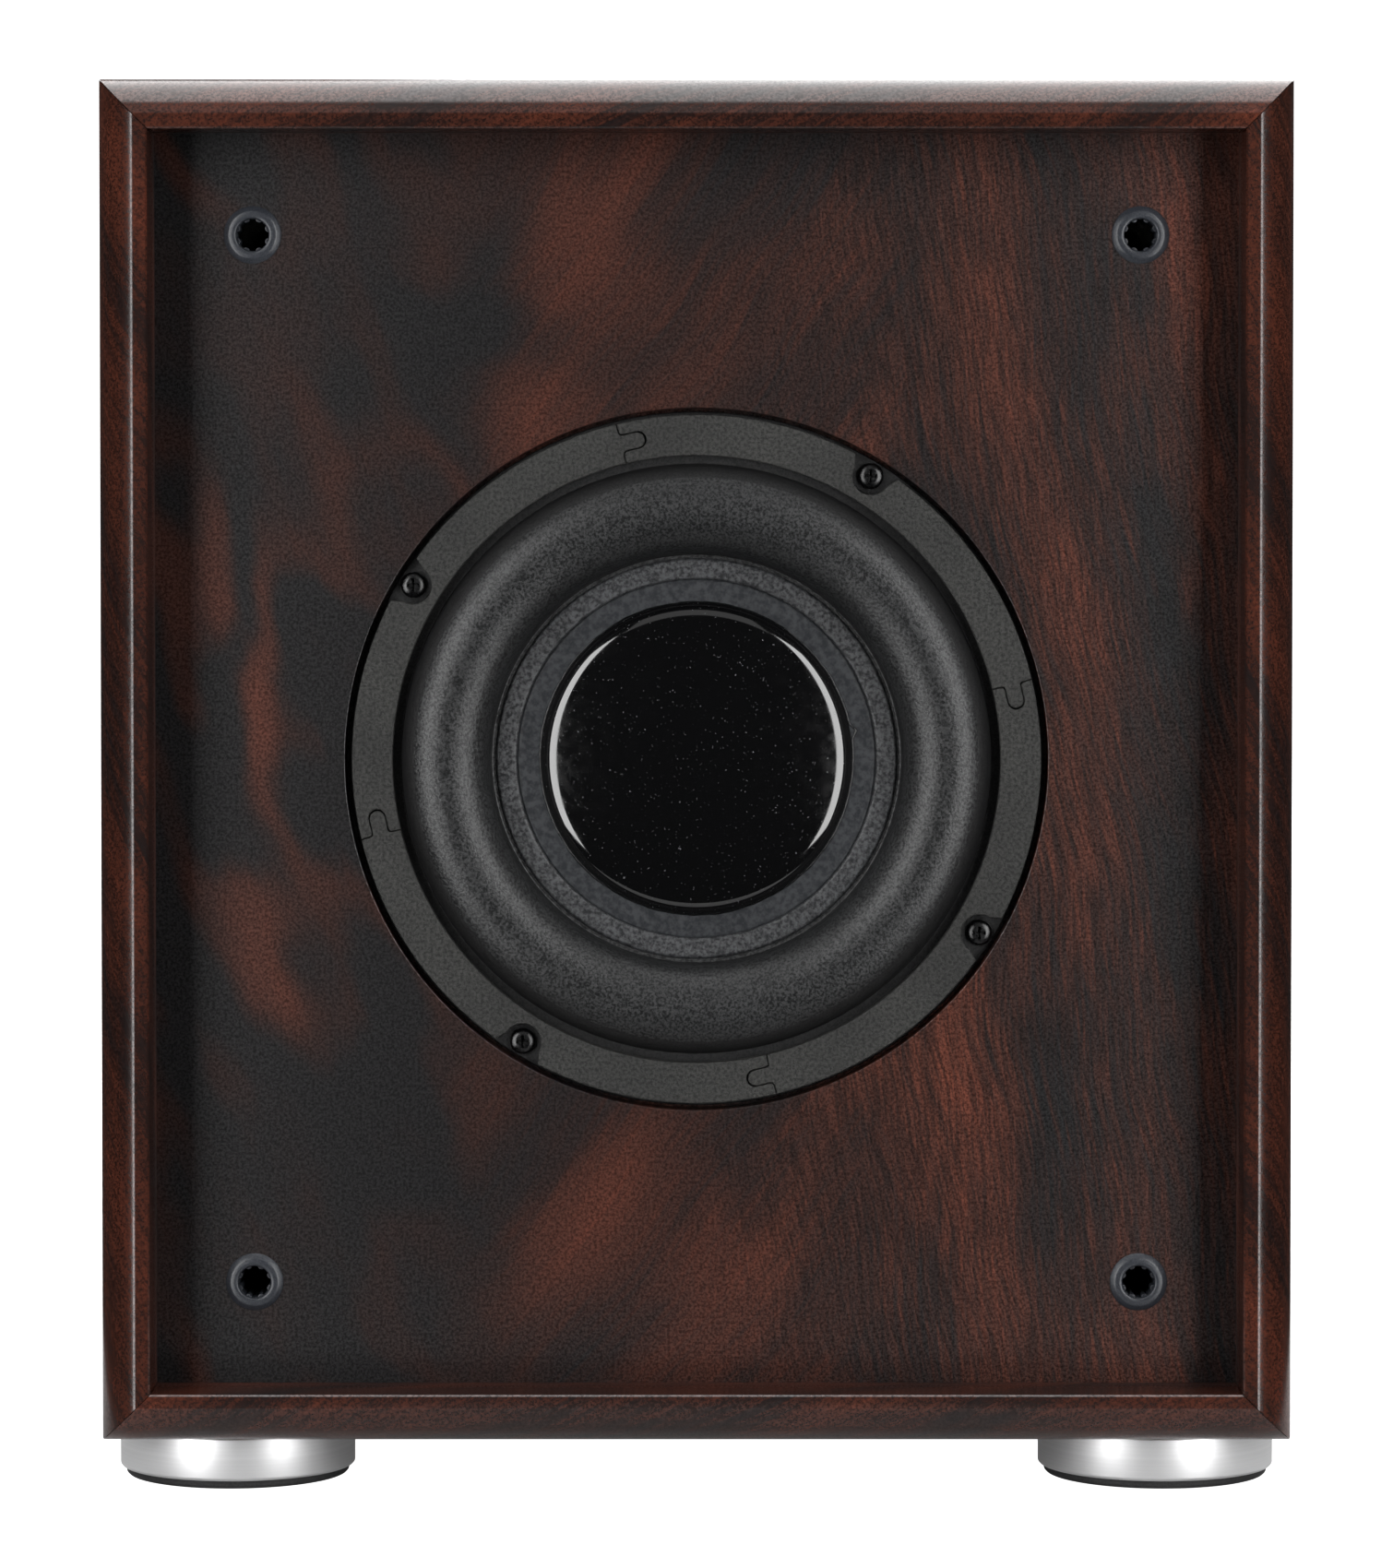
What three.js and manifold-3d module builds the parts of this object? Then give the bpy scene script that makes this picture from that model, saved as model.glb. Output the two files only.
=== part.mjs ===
// An active home-cinema subwoofer: a mitred MDF cabinet with a sunken baffle, an 8-inch long-throw
// woofer behind a four-piece foam ring, four grille sockets, four aluminium feet, and a plate
// amplifier with its controls on the rear panel.
//
// Millimetres, +Z up, the front faces -Y. The origin is on the floor, under the middle of the
// whole object's box. The driver and the amplifier stand in groups of their own, whose origins are
// on the baffle's face and on the rear panel's face.
import * as THREE from "three";
import { mergeVertices } from "three/addons/utils/BufferGeometryUtils.js";
import Module from "manifold-3d";

const wasm = await Module();
wasm.setup();

// ---------------------------------------------------------------- driving dimensions
const WIDTH = 350;
const HEIGHT = 400; // cabinet alone
const DEPTH = 370; // cabinet alone
const PANEL = 15; // wall of the mitred wrap
const FOOT_HEIGHT = 15.5;
const GRILLE_RECESS = 24; // front edge to the baffle's face
const BAFFLE = 18;
const REAR_PANEL = 15;
const REAR_INSET = 6; // rear edge to the rear panel's face
const PLATE = 3; // amplifier panel
const SINK_HEIGHT = 22; // heat sink, outward from the amplifier panel
const JOINT_GAP = 0.3; // between faces that are glued or clamped together

const OVERALL_DEPTH = DEPTH - REAR_INSET + PLATE + SINK_HEIGHT;
const FRONT = -OVERALL_DEPTH / 2;
const REAR = FRONT + DEPTH;
const FLOOR_OF_CABINET = FOOT_HEIGHT;
const MIDDLE = FLOOR_OF_CABINET + HEIGHT / 2;
const BAFFLE_FACE = FRONT + GRILLE_RECESS;
const REAR_FACE = REAR - REAR_INSET;
const PLATE_FACE = REAR_FACE + PLATE; // outer face of the amplifier panel

const ROUND = 32; // sides of a large round part
const SMALL_ROUND = 16;

// ---------------------------------------------------------------- materials
const finish = (color, roughness, metalness = 0) =>
  new THREE.MeshStandardMaterial({ color, roughness, metalness });
const foil = finish(0x3a1d15, 0.4);
const rubber = finish(0x1d1e1f, 0.7);
const foam = finish(0x3c3c39, 0.95);
const satinBlack = finish(0x17181a, 0.5);
const glossBlack = finish(0x050506, 0.12);
const aluminium = finish(0xd5d6d8, 0.28, 1);
const blackSteel = finish(0x15161a, 0.45, 0.6);
const zincSteel = finish(0x9a9c9f, 0.35, 1);
const ferrite = finish(0x2c2c2e, 0.75);
const copper = finish(0xa85a32, 0.35, 1);
const cloth = finish(0xb08a4a, 0.9);
const polyester = finish(0xe4e2dc, 1);
const boardGreen = finish(0x1f4a2a, 0.6);
const nickel = finish(0xc4c0b6, 0.25, 1);
const redPlastic = finish(0x8c1618, 0.4);
const blueLens = finish(0x2b58c8, 0.2);

// ---------------------------------------------------------------- helpers
const group = new THREE.Group();

function add(name, geometry, material, parent = group) {
  const mesh = new THREE.Mesh(geometry, material);
  mesh.name = name;
  parent.add(mesh);
  return mesh;
}

function subgroup(x, y, z) {
  const part = new THREE.Group();
  part.position.set(x, y, z);
  group.add(part);
  return part;
}

function toSolid(geometry) {
  const plain = geometry.clone();
  plain.deleteAttribute("normal");
  plain.deleteAttribute("uv");
  const merged = mergeVertices(plain, 1e-4);
  return new wasm.Manifold(
    new wasm.Mesh({
      numProp: 3,
      vertProperties: new Float32Array(merged.attributes.position.array),
      triVerts: new Uint32Array(merged.index.array),
    }),
  );
}

function toGeometry(solid) {
  const mesh = solid.getMesh();
  return new THREE.BufferGeometry()
    .setAttribute("position", new THREE.BufferAttribute(mesh.vertProperties, 3))
    .setIndex(new THREE.BufferAttribute(mesh.triVerts, 1));
}

function cut(geometry, ...tools) {
  return toGeometry(tools.reduce((left, tool) => left.subtract(toSolid(tool)), toSolid(geometry)));
}

function join(geometry, ...others) {
  return toGeometry(others.reduce((left, other) => left.add(toSolid(other)), toSolid(geometry)));
}

// Turns an outline of [radius, y] points round the Y axis, whichever way the outline runs. An
// outline either starts and ends on the axis or is closed back to its first point.
function revolve(outline, sides = ROUND) {
  const loop = outline.map(([r, y]) => new THREE.Vector2(r, y));
  const clockwise = THREE.ShapeUtils.isClockWise(loop);
  const onAxis = loop[0].x === 0 && loop[loop.length - 1].x === 0;
  if (!onAxis) loop.push(loop[0].clone());
  if (clockwise) loop.reverse();
  return new THREE.LatheGeometry(loop, sides);
}

// The same round an upright axis: outline points are [radius, z].
function revolveUpright(outline, sides = ROUND) {
  return revolve(outline, sides).rotateX(Math.PI / 2);
}

// A plate cut from a shape drawn in X and Z, between two Y values.
function plateOf(shape, y0, y1, curveSegments = 6) {
  return new THREE.ExtrudeGeometry(shape, { depth: y1 - y0, bevelEnabled: false, curveSegments })
    .rotateX(Math.PI / 2)
    .translate(0, y1, 0);
}

function box(x0, x1, y0, y1, z0, z1) {
  return new THREE.BoxGeometry(x1 - x0, y1 - y0, z1 - z0).translate(
    (x0 + x1) / 2,
    (y0 + y1) / 2,
    (z0 + z1) / 2,
  );
}

// A round bar along Y.
function bar(radius, y0, y1, x, z, sides = SMALL_ROUND) {
  return new THREE.CylinderGeometry(radius, radius, y1 - y0, sides).translate(x, (y0 + y1) / 2, z);
}

function rectangle(width, height, x = 0, z = 0) {
  const shape = new THREE.Shape();
  shape.moveTo(x - width / 2, z - height / 2);
  shape.lineTo(x + width / 2, z - height / 2);
  shape.lineTo(x + width / 2, z + height / 2);
  shape.lineTo(x - width / 2, z + height / 2);
  shape.closePath();
  return shape;
}

function roundedRectangle(width, height, radius, x = 0, z = 0) {
  const shape = new THREE.Shape();
  const corners = [
    [1, -1, -Math.PI / 2],
    [1, 1, 0],
    [-1, 1, Math.PI / 2],
    [-1, -1, Math.PI],
  ];
  for (const [sx, sz, start] of corners) {
    const cx = x + sx * (width / 2 - radius);
    const cz = z + sz * (height / 2 - radius);
    shape.absarc(cx, cz, radius, start, start + Math.PI / 2, false);
  }
  shape.closePath();
  return shape;
}

function circle(radius, x, z) {
  return new THREE.Path().absarc(x, z, radius, 0, 2 * Math.PI, true);
}

const polar = (radius, angle) => [radius * Math.cos(angle), radius * Math.sin(angle)];
const degrees = (value) => (value * Math.PI) / 180;

// ---------------------------------------------------------------- where the feet screw in
const FOOT_X = 138;
const FOOT_INSET = 49.5; // foot centre behind the cabinet's front edge, and ahead of its rear edge
const STUD_RADIUS = 3;
const STUD_LENGTH = 8;
const FOOT_PLACES = [
  ["front_left", -FOOT_X, FRONT + FOOT_INSET],
  ["front_right", FOOT_X, FRONT + FOOT_INSET],
  ["rear_left", -FOOT_X, REAR - FOOT_INSET],
  ["rear_right", FOOT_X, REAR - FOOT_INSET],
];

// ---------------------------------------------------------------- cabinet wrap
// Each wall's section is drawn as [distance in from the outer face, y]. The front edge has a flat
// land beside the opening and then a convex moulding that falls away to the outer face.
const MOULDING_RADIUS = 16.8;
const MOULDING_START = degrees(22); // how far the surface is already turned where the land ends
const MOULDING_END = degrees(78);
const MOULDING_STEPS = 6;
const BAFFLE_GROOVE = 5;
const REAR_REBATE = 7;

function wallSection() {
  const moulding = [];
  for (let i = 0; i <= MOULDING_STEPS; i++) {
    const turn = MOULDING_END + ((MOULDING_START - MOULDING_END) * i) / MOULDING_STEPS;
    moulding.push([
      MOULDING_RADIUS * (Math.sin(MOULDING_END) - Math.sin(turn)),
      FRONT + MOULDING_RADIUS * (Math.cos(MOULDING_START) - Math.cos(turn)),
    ]);
  }
  const grooveBack = BAFFLE_FACE + BAFFLE + JOINT_GAP;
  const rebate = REAR_FACE - REAR_PANEL - JOINT_GAP;
  return [
    [0, REAR],
    ...moulding,
    [PANEL, FRONT],
    [PANEL, BAFFLE_FACE - JOINT_GAP],
    [PANEL - BAFFLE_GROOVE, BAFFLE_FACE - JOINT_GAP],
    [PANEL - BAFFLE_GROOVE, grooveBack],
    [PANEL, grooveBack],
    [PANEL, rebate],
    [PANEL - REAR_REBATE, rebate],
    [PANEL - REAR_REBATE, REAR],
  ];
}

// A wall whose two ends are mitred: every point of the section runs between the mitre planes.
// It is built lying along X with its outer face at z = 0 and its thickness towards -z.
function mitredWall(length) {
  const section = wallSection();
  const n = section.length;
  const flat = section.map(([inward, y]) => new THREE.Vector2(y, -inward));
  const caps = THREE.ShapeUtils.triangulateShape(flat, []);
  const mitre = JOINT_GAP / 2;
  const positions = [];
  for (const side of [-1, 1]) {
    for (const [inward, y] of section) {
      positions.push(side * (length / 2 - inward - mitre), y, -inward);
    }
  }
  const indices = [];
  for (const [a, b, c] of caps) indices.push(a, c, b, a + n, b + n, c + n);
  for (let i = 0; i < n; i++) {
    const next = (i + 1) % n;
    indices.push(i, next, next + n, i, next + n, i + n);
  }
  return new THREE.BufferGeometry()
    .setAttribute("position", new THREE.Float32BufferAttribute(positions, 3))
    .setIndex(indices);
}

function studHole(x, y) {
  const radius = STUD_RADIUS + JOINT_GAP;
  const depth = STUD_LENGTH + 0.5;
  return new THREE.CylinderGeometry(radius, radius, 2 * depth, 12).rotateX(Math.PI / 2).translate(x, y, 0);
}

function buildCabinet() {
  const upright = mitredWall(HEIGHT);
  const across = mitredWall(WIDTH);
  const drilled = cut(across, ...FOOT_PLACES.map(([, x, y]) => studHole(x, y)));
  for (const [name, geometry, turn, reach] of [
    ["cabinet_top", across, 0, HEIGHT / 2],
    ["cabinet_right", upright, 90, WIDTH / 2],
    ["cabinet_bottom", drilled, 180, HEIGHT / 2],
    ["cabinet_left", upright, -90, WIDTH / 2],
  ]) {
    const wall = add(name, geometry, foil);
    wall.rotation.y = degrees(turn);
    wall.position.set(0, 0, MIDDLE);
    wall.translateZ(reach);
  }
}

// ---------------------------------------------------------------- baffle and rear panel
const BAFFLE_OPENING = 92; // radius of the hole that the basket drops through
const FLANGE_REBATE = 104; // radius of the step that the driver's rim lies in
const FLANGE_DEPTH = 8.4;
const SCREW_CIRCLE = 98.5;
const SCREW_ANGLES = [58.4, 148.4, 238.4, 328.4].map(degrees);
const SCREW_SHANK = 2.1;
const SOCKET_X = 131;
const SOCKET_Z = 155;
const SOCKET_HOLE = 6;
const SOCKET_PLACES = [
  ["upper_left", -SOCKET_X, MIDDLE + SOCKET_Z],
  ["upper_right", SOCKET_X, MIDDLE + SOCKET_Z],
  ["lower_left", -SOCKET_X, MIDDLE - SOCKET_Z],
  ["lower_right", SOCKET_X, MIDDLE - SOCKET_Z],
];

function buildBaffle() {
  const reach = 2 * (BAFFLE_GROOVE - PANEL - JOINT_GAP);
  const board = rectangle(WIDTH + reach, HEIGHT + reach, 0, MIDDLE);
  board.holes.push(circle(BAFFLE_OPENING, 0, MIDDLE));
  for (const [, x, z] of SOCKET_PLACES) board.holes.push(circle(SOCKET_HOLE, x, z));
  for (const angle of SCREW_ANGLES) {
    const [x, z] = polar(SCREW_CIRCLE, angle);
    board.holes.push(circle(SCREW_SHANK + JOINT_GAP, x, MIDDLE + z));
  }
  const slab = plateOf(board, BAFFLE_FACE, BAFFLE_FACE + BAFFLE, 10);
  const step = bar(FLANGE_REBATE, BAFFLE_FACE - 1, BAFFLE_FACE + FLANGE_DEPTH, 0, MIDDLE, 48);
  add("front_baffle", cut(slab, step), foil);
}

const PLATE_WIDTH = 200;
const PLATE_HEIGHT = 250;
const PLATE_BORDER = 15; // how far the amplifier panel laps over the rear panel's opening
const PLATE_MIDDLE = MIDDLE - 20;
const BOARD_DEPTH = 26; // rear panel's face to the front of the amplifier's circuit board

function buildRearPanel() {
  const reach = 2 * (REAR_REBATE - PANEL - JOINT_GAP);
  const board = rectangle(WIDTH + reach, HEIGHT + reach, 0, MIDDLE);
  const opening = [PLATE_WIDTH - 2 * PLATE_BORDER, PLATE_HEIGHT - 2 * PLATE_BORDER];
  board.holes.push(rectangle(...opening, 0, PLATE_MIDDLE));
  add("rear_panel", plateOf(board, REAR_FACE - REAR_PANEL, REAR_FACE - JOINT_GAP), foil);
}

// Polyester wadding against the top and both side walls, one folded length.
const WADDING = 24;

function buildWadding() {
  const clear = 2;
  const outerX = WIDTH / 2 - PANEL - clear;
  const outerZ = HEIGHT / 2 - PANEL - clear;
  const shape = new THREE.Shape();
  shape.moveTo(-outerX, MIDDLE - outerZ + WADDING);
  shape.lineTo(-outerX, MIDDLE + outerZ);
  shape.lineTo(outerX, MIDDLE + outerZ);
  shape.lineTo(outerX, MIDDLE - outerZ + WADDING);
  shape.lineTo(outerX - WADDING, MIDDLE - outerZ + WADDING);
  shape.lineTo(outerX - WADDING, MIDDLE + outerZ - WADDING);
  shape.lineTo(WADDING - outerX, MIDDLE + outerZ - WADDING);
  shape.lineTo(WADDING - outerX, MIDDLE - outerZ + WADDING);
  shape.closePath();
  const front = BAFFLE_FACE + BAFFLE + 12;
  const back = REAR_FACE - REAR_PANEL - 12;
  add("acoustic_wadding", plateOf(shape, front, back), polyester);
}

// ---------------------------------------------------------------- woofer: fixed parts
// Outlines in this group are [radius, depth behind the baffle's face].
const driver = subgroup(0, BAFFLE_FACE, MIDDLE);
const RIM_FRONT = 5.3; // depth of the rim's front, which the foam ring and the screws sit on
const SHEET = 1.5;
const RIM_RADIUS = 103;
const SEAT_RADIUS = 93; // the surround's flange is glued inside this step
const SEAT_FRONT = RIM_FRONT + 1.3;
const SHELF_DEPTH = 40; // spider landing
const BASKET_BACK = 62;
const WINDOWS = 6;

function buildBasket() {
  const outline = [
    [RIM_RADIUS, RIM_FRONT],
    [RIM_RADIUS, SEAT_FRONT + SHEET],
    [89.6, SEAT_FRONT + SHEET],
    [84, 13],
    [58.5, SHELF_DEPTH + SHEET],
    [54, SHELF_DEPTH + SHEET],
    [50, BASKET_BACK],
    [22, BASKET_BACK],
    [22, BASKET_BACK - SHEET],
    [48.6, BASKET_BACK - SHEET],
    [52.6, SHELF_DEPTH],
    [57.4, SHELF_DEPTH],
    [82, 12.6],
    [88, SEAT_FRONT],
    [SEAT_RADIUS, SEAT_FRONT],
    [SEAT_RADIUS, RIM_FRONT],
  ];
  const tools = [];
  for (let i = 0; i < WINDOWS; i++) {
    const window = new THREE.Shape();
    window.absarc(0, 0, 80, degrees(-21), degrees(21), false);
    window.absarc(0, 0, 62, degrees(18), degrees(-18), true);
    window.closePath();
    tools.push(plateOf(window, 8, 45, 4).rotateY(degrees((360 / WINDOWS) * i)));
  }
  for (const angle of SCREW_ANGLES) {
    tools.push(bar(SCREW_SHANK + 0.6, 0, 10, ...polar(SCREW_CIRCLE, angle), 12));
  }
  add("driver_basket", cut(revolve(outline), ...tools), blackSteel, driver);
}

// The foam ring is four alike pieces. Each has a round tongue at one end, a socket for its
// neighbour's tongue at the other, and a notch in the middle that clears a screw.
const FOAM_INNER = 90;
const FOAM_OUTER = 102;
const FOAM_FRONT = 0.5;
const NOTCH_RADIUS = 5;
const NOTCH_MOUTH = 7.4; // half the notch's width where it leaves the outer edge
const TONGUE_RADIUS = 2.3;
const TONGUE_REACH = 4.8; // joint line to the centre of the tongue's round end
const TONGUE_TRACK = 96;

// One end line from the inner to the outer edge, as [radius, sideways] points; grow widens the
// tongue, which turns it into the socket that it enters.
function jointLine(grow) {
  const r = TONGUE_RADIUS + grow;
  const points = [
    [FOAM_INNER, 0],
    [TONGUE_TRACK - r - 0.6, 0],
    [TONGUE_TRACK - r, -0.8],
  ];
  for (let i = 0; i <= 6; i++) {
    const turn = Math.PI - (Math.PI * i) / 6;
    points.push([TONGUE_TRACK + r * Math.cos(turn), -TONGUE_REACH - r * Math.sin(turn)]);
  }
  points.push([TONGUE_TRACK + r, -0.8], [TONGUE_TRACK + r + 0.6, 0], [FOAM_OUTER, 0]);
  return points;
}

function placed([radius, sideways], angle) {
  return new THREE.Vector2(
    radius * Math.cos(angle) - sideways * Math.sin(angle),
    radius * Math.sin(angle) + sideways * Math.cos(angle),
  );
}

function arcPoints(radius, from, to, steps) {
  const points = [];
  for (let i = 1; i < steps; i++) {
    points.push(new THREE.Vector2(...polar(radius, from + ((to - from) * i) / steps)));
  }
  return points;
}

function foamSegment(screwAngle) {
  const quarter = Math.PI / 4;
  const gap = JOINT_GAP / FOAM_OUTER;
  const low = screwAngle - quarter;
  const high = screwAngle + quarter - gap;
  const half = Math.asin(NOTCH_MOUTH / FOAM_OUTER);
  return new THREE.Shape([
    ...jointLine(0).map((p) => placed(p, low)),
    ...arcPoints(FOAM_OUTER, low, screwAngle - half, 6),
    new THREE.Vector2(...polar(FOAM_OUTER, screwAngle - half)),
    ...notchPoints().map((p) => placed(p, screwAngle)),
    new THREE.Vector2(...polar(FOAM_OUTER, screwAngle + half)),
    ...arcPoints(FOAM_OUTER, screwAngle + half, high, 6),
    ...jointLine(JOINT_GAP)
      .reverse()
      .map((p) => placed(p, high)),
    ...arcPoints(FOAM_INNER, high, low, 14),
  ]);
}

// The notch's round end, from its low-angle side to its high-angle side.
function notchPoints() {
  const points = [];
  for (let i = 0; i <= 8; i++) {
    const turn = Math.PI * (i / 8);
    const inward = NOTCH_RADIUS * Math.sin(turn);
    points.push([SCREW_CIRCLE - inward, -NOTCH_RADIUS * Math.cos(turn)]);
  }
  return points;
}

function buildFoamRing() {
  SCREW_ANGLES.forEach((angle, i) => {
    const piece = plateOf(foamSegment(angle), FOAM_FRONT, RIM_FRONT - JOINT_GAP);
    add(`foam_ring_${i + 1}`, piece, foam, driver);
  });
}

function buildDriverScrews() {
  const head = 4.3;
  const front = RIM_FRONT - 2.6;
  const outline = [
    [0, front],
    [2.6, front + 0.3],
    [head, front + 1.6],
    [head, RIM_FRONT - JOINT_GAP],
    [SCREW_SHANK, RIM_FRONT - JOINT_GAP],
    [SCREW_SHANK, 22],
    [0, 24],
  ];
  SCREW_ANGLES.forEach((angle, i) => {
    const [x, z] = polar(SCREW_CIRCLE, angle);
    const screw = add(`driver_screw_${i + 1}`, revolve(outline, 12), blackSteel, driver);
    screw.position.set(x, 0, z);
  });
}

const PLATE_BORE = 21; // front plate's hole round the voice coil
const MAGNET_FRONT = BASKET_BACK + 6.3;
const MAGNET_BACK = MAGNET_FRONT + 20;

function buildMotor() {
  add(
    "front_plate",
    revolve([
      [PLATE_BORE, BASKET_BACK + JOINT_GAP],
      [48, BASKET_BACK + JOINT_GAP],
      [48, MAGNET_FRONT - JOINT_GAP],
      [PLATE_BORE, MAGNET_FRONT - JOINT_GAP],
    ]),
    zincSteel,
    driver,
  );
  add(
    "ferrite_magnet",
    revolve([
      [32, MAGNET_FRONT],
      [60, MAGNET_FRONT],
      [60, MAGNET_BACK],
      [32, MAGNET_BACK],
    ]),
    ferrite,
    driver,
  );
  add(
    "pole_yoke",
    revolve([
      [5, BASKET_BACK - 1],
      [17, BASKET_BACK - 1],
      [18.2, BASKET_BACK],
      [18.2, MAGNET_BACK + JOINT_GAP],
      [52, MAGNET_BACK + JOINT_GAP],
      [52, MAGNET_BACK + 6],
      [5, MAGNET_BACK + 6],
    ]),
    zincSteel,
    driver,
  );
}

// ---------------------------------------------------------------- woofer: moving parts
const FORMER_RADIUS = 18.7;
const FORMER_FRONT = 29;
const LIP_DEPTH = 8; // the cone's flat outer lip
const LIP_OUTER = 59.6;
const CAP_RADIUS = 45.6;
const CONE_WALL = 1;

function buildCone() {
  add(
    "woofer_cone",
    revolve([
      [FORMER_RADIUS + 0.7, FORMER_FRONT + 3],
      [44.6, LIP_DEPTH],
      [LIP_OUTER, LIP_DEPTH],
      [LIP_OUTER, LIP_DEPTH + CONE_WALL],
      [45.2, LIP_DEPTH + CONE_WALL + 0.4],
      [FORMER_RADIUS + 0.7, FORMER_FRONT + 5],
    ]),
    satinBlack,
    driver,
  );
  add(
    "coil_former",
    revolve([
      [FORMER_RADIUS, FORMER_FRONT],
      [FORMER_RADIUS + 0.4, FORMER_FRONT],
      [FORMER_RADIUS + 0.4, 74],
      [FORMER_RADIUS, 74],
    ]),
    cloth,
    driver,
  );
  add(
    "voice_coil",
    revolve([
      [FORMER_RADIUS + 0.7, 57],
      [FORMER_RADIUS + 1.6, 57],
      [FORMER_RADIUS + 1.6, 73],
      [FORMER_RADIUS + 0.7, 73],
    ]),
    copper,
    driver,
  );
}

// A shallow dome with a narrow foot that is glued on the cone's lip.
const CAP_SLOPE = degrees(17); // at the rim
const CAP_STEPS = 5;
const CAP_WALL = 0.7;

function buildDustCap() {
  const sphere = CAP_RADIUS / Math.sin(CAP_SLOPE);
  const rim = LIP_DEPTH - 0.8;
  const dome = (thickness) => {
    const points = [];
    for (let i = 0; i <= CAP_STEPS; i++) {
      const turn = (CAP_SLOPE * i) / CAP_STEPS;
      const radius = sphere - thickness;
      points.push([radius * Math.sin(turn), rim + sphere * Math.cos(CAP_SLOPE) - radius * Math.cos(turn)]);
    }
    return points;
  };
  const foot = [
    [CAP_RADIUS + 1, rim],
    [CAP_RADIUS + 1, LIP_DEPTH - JOINT_GAP],
    [CAP_RADIUS - 1.2, LIP_DEPTH - JOINT_GAP],
  ];
  const inside = dome(CAP_WALL).slice(0, -1).reverse();
  add("dust_cap", revolve([...dome(0), ...foot, ...inside]), glossBlack, driver);
}

// Rubber half roll between the cone's lip and the basket's seat.
const ROLL_INNER = 60.8;
const ROLL_OUTER = 87.4;
const ROLL_HEIGHT = 12;
const ROLL_STEPS = 7;
const RUBBER = 1.1;

function buildSurround() {
  const middle = (ROLL_INNER + ROLL_OUTER) / 2;
  const half = (ROLL_OUTER - ROLL_INNER) / 2;
  const innerFront = LIP_DEPTH - RUBBER - JOINT_GAP;
  const outerFront = SEAT_FRONT - RUBBER - JOINT_GAP;
  const roll = (offset) => {
    const points = [];
    for (let i = 0; i <= ROLL_STEPS; i++) {
      const turn = Math.PI - (Math.PI * i) / ROLL_STEPS;
      const base = innerFront + ((outerFront - innerFront) * i) / ROLL_STEPS;
      points.push([
        middle + (half - offset) * Math.cos(turn),
        base + offset - ROLL_HEIGHT * Math.sin(turn),
      ]);
    }
    return points;
  };
  const outline = [
    [53.2, innerFront],
    ...roll(0),
    [SEAT_RADIUS - JOINT_GAP, outerFront],
    [SEAT_RADIUS - JOINT_GAP, outerFront + RUBBER],
    ...roll(RUBBER).reverse(),
    [53.2, innerFront + RUBBER],
  ];
  add("rubber_surround", revolve(outline), rubber, driver);
}

// Corrugated cloth disc that centres the coil.
const SPIDER_WAVES = 3;

function buildSpider() {
  const inner = FORMER_RADIUS + 0.8;
  const outer = 52;
  const steps = SPIDER_WAVES * 2;
  const front = [];
  for (let i = 0; i <= steps; i++) {
    const wave = i % 2 ? 2.2 : 0;
    const end = i === 0 || i === steps;
    front.push([inner + ((outer - inner) * i) / steps, SHELF_DEPTH - 3.4 + (end ? 1 : wave)]);
  }
  const back = front.map(([r, y]) => [r, y + 0.8]).reverse();
  const land = [
    [56, SHELF_DEPTH - 2.4],
    [56, SHELF_DEPTH - 1.2],
  ];
  add("spider", revolve([...front, ...land, ...back], 24), cloth, driver);
}

// ---------------------------------------------------------------- wiring
function tube(points, radius, steps, sides = 6) {
  const curve = new THREE.CatmullRomCurve3(points.map((p) => new THREE.Vector3(...p)));
  const ring = new THREE.Shape();
  for (let i = 0; i < sides; i++) {
    const [x, y] = polar(radius, (2 * Math.PI * i) / sides);
    if (i) ring.lineTo(x, y);
    else ring.moveTo(x, y);
  }
  ring.closePath();
  return new THREE.ExtrudeGeometry(ring, { steps, extrudePath: curve, bevelEnabled: false });
}

const TAG_X = 66; // middle of the terminal strip on the basket's side
const TAG_DEPTH = 46;
const TAG_UP = 8; // each tag above or below the driver's axis
const STRIP_INNER = 53.6;

function buildDriverWiring() {
  const strip = box(STRIP_INNER, TAG_X + 6, TAG_DEPTH, TAG_DEPTH + 2, -14, 14);
  const tags = [-TAG_UP, TAG_UP].map((z) =>
    box(TAG_X - 3, TAG_X + 12, TAG_DEPTH - 1, TAG_DEPTH + 0.5, z - 2.5, z + 2.5),
  );
  add("terminal_strip", join(strip, ...tags), satinBlack, driver);
  for (const [name, side] of [
    ["tinsel_lead_plus", 1],
    ["tinsel_lead_minus", -1],
  ]) {
    const route = [
      [TAG_X - 1, TAG_DEPTH - 2.2, side * TAG_UP],
      [TAG_X + 3, TAG_DEPTH - 6, side * (TAG_UP + 1)],
      [TAG_X + 3, TAG_DEPTH - 13, side * (TAG_UP + 2)],
      [TAG_X - 6, TAG_DEPTH - 19, side * (TAG_UP + 3)],
      [TAG_X - 20, TAG_DEPTH - 20.5, side * (TAG_UP + 1)],
      [TAG_X - 32, TAG_DEPTH - 22.4, side * TAG_UP],
    ];
    add(name, tube(route, 0.8, 12), copper, driver);
  }
}

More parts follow.
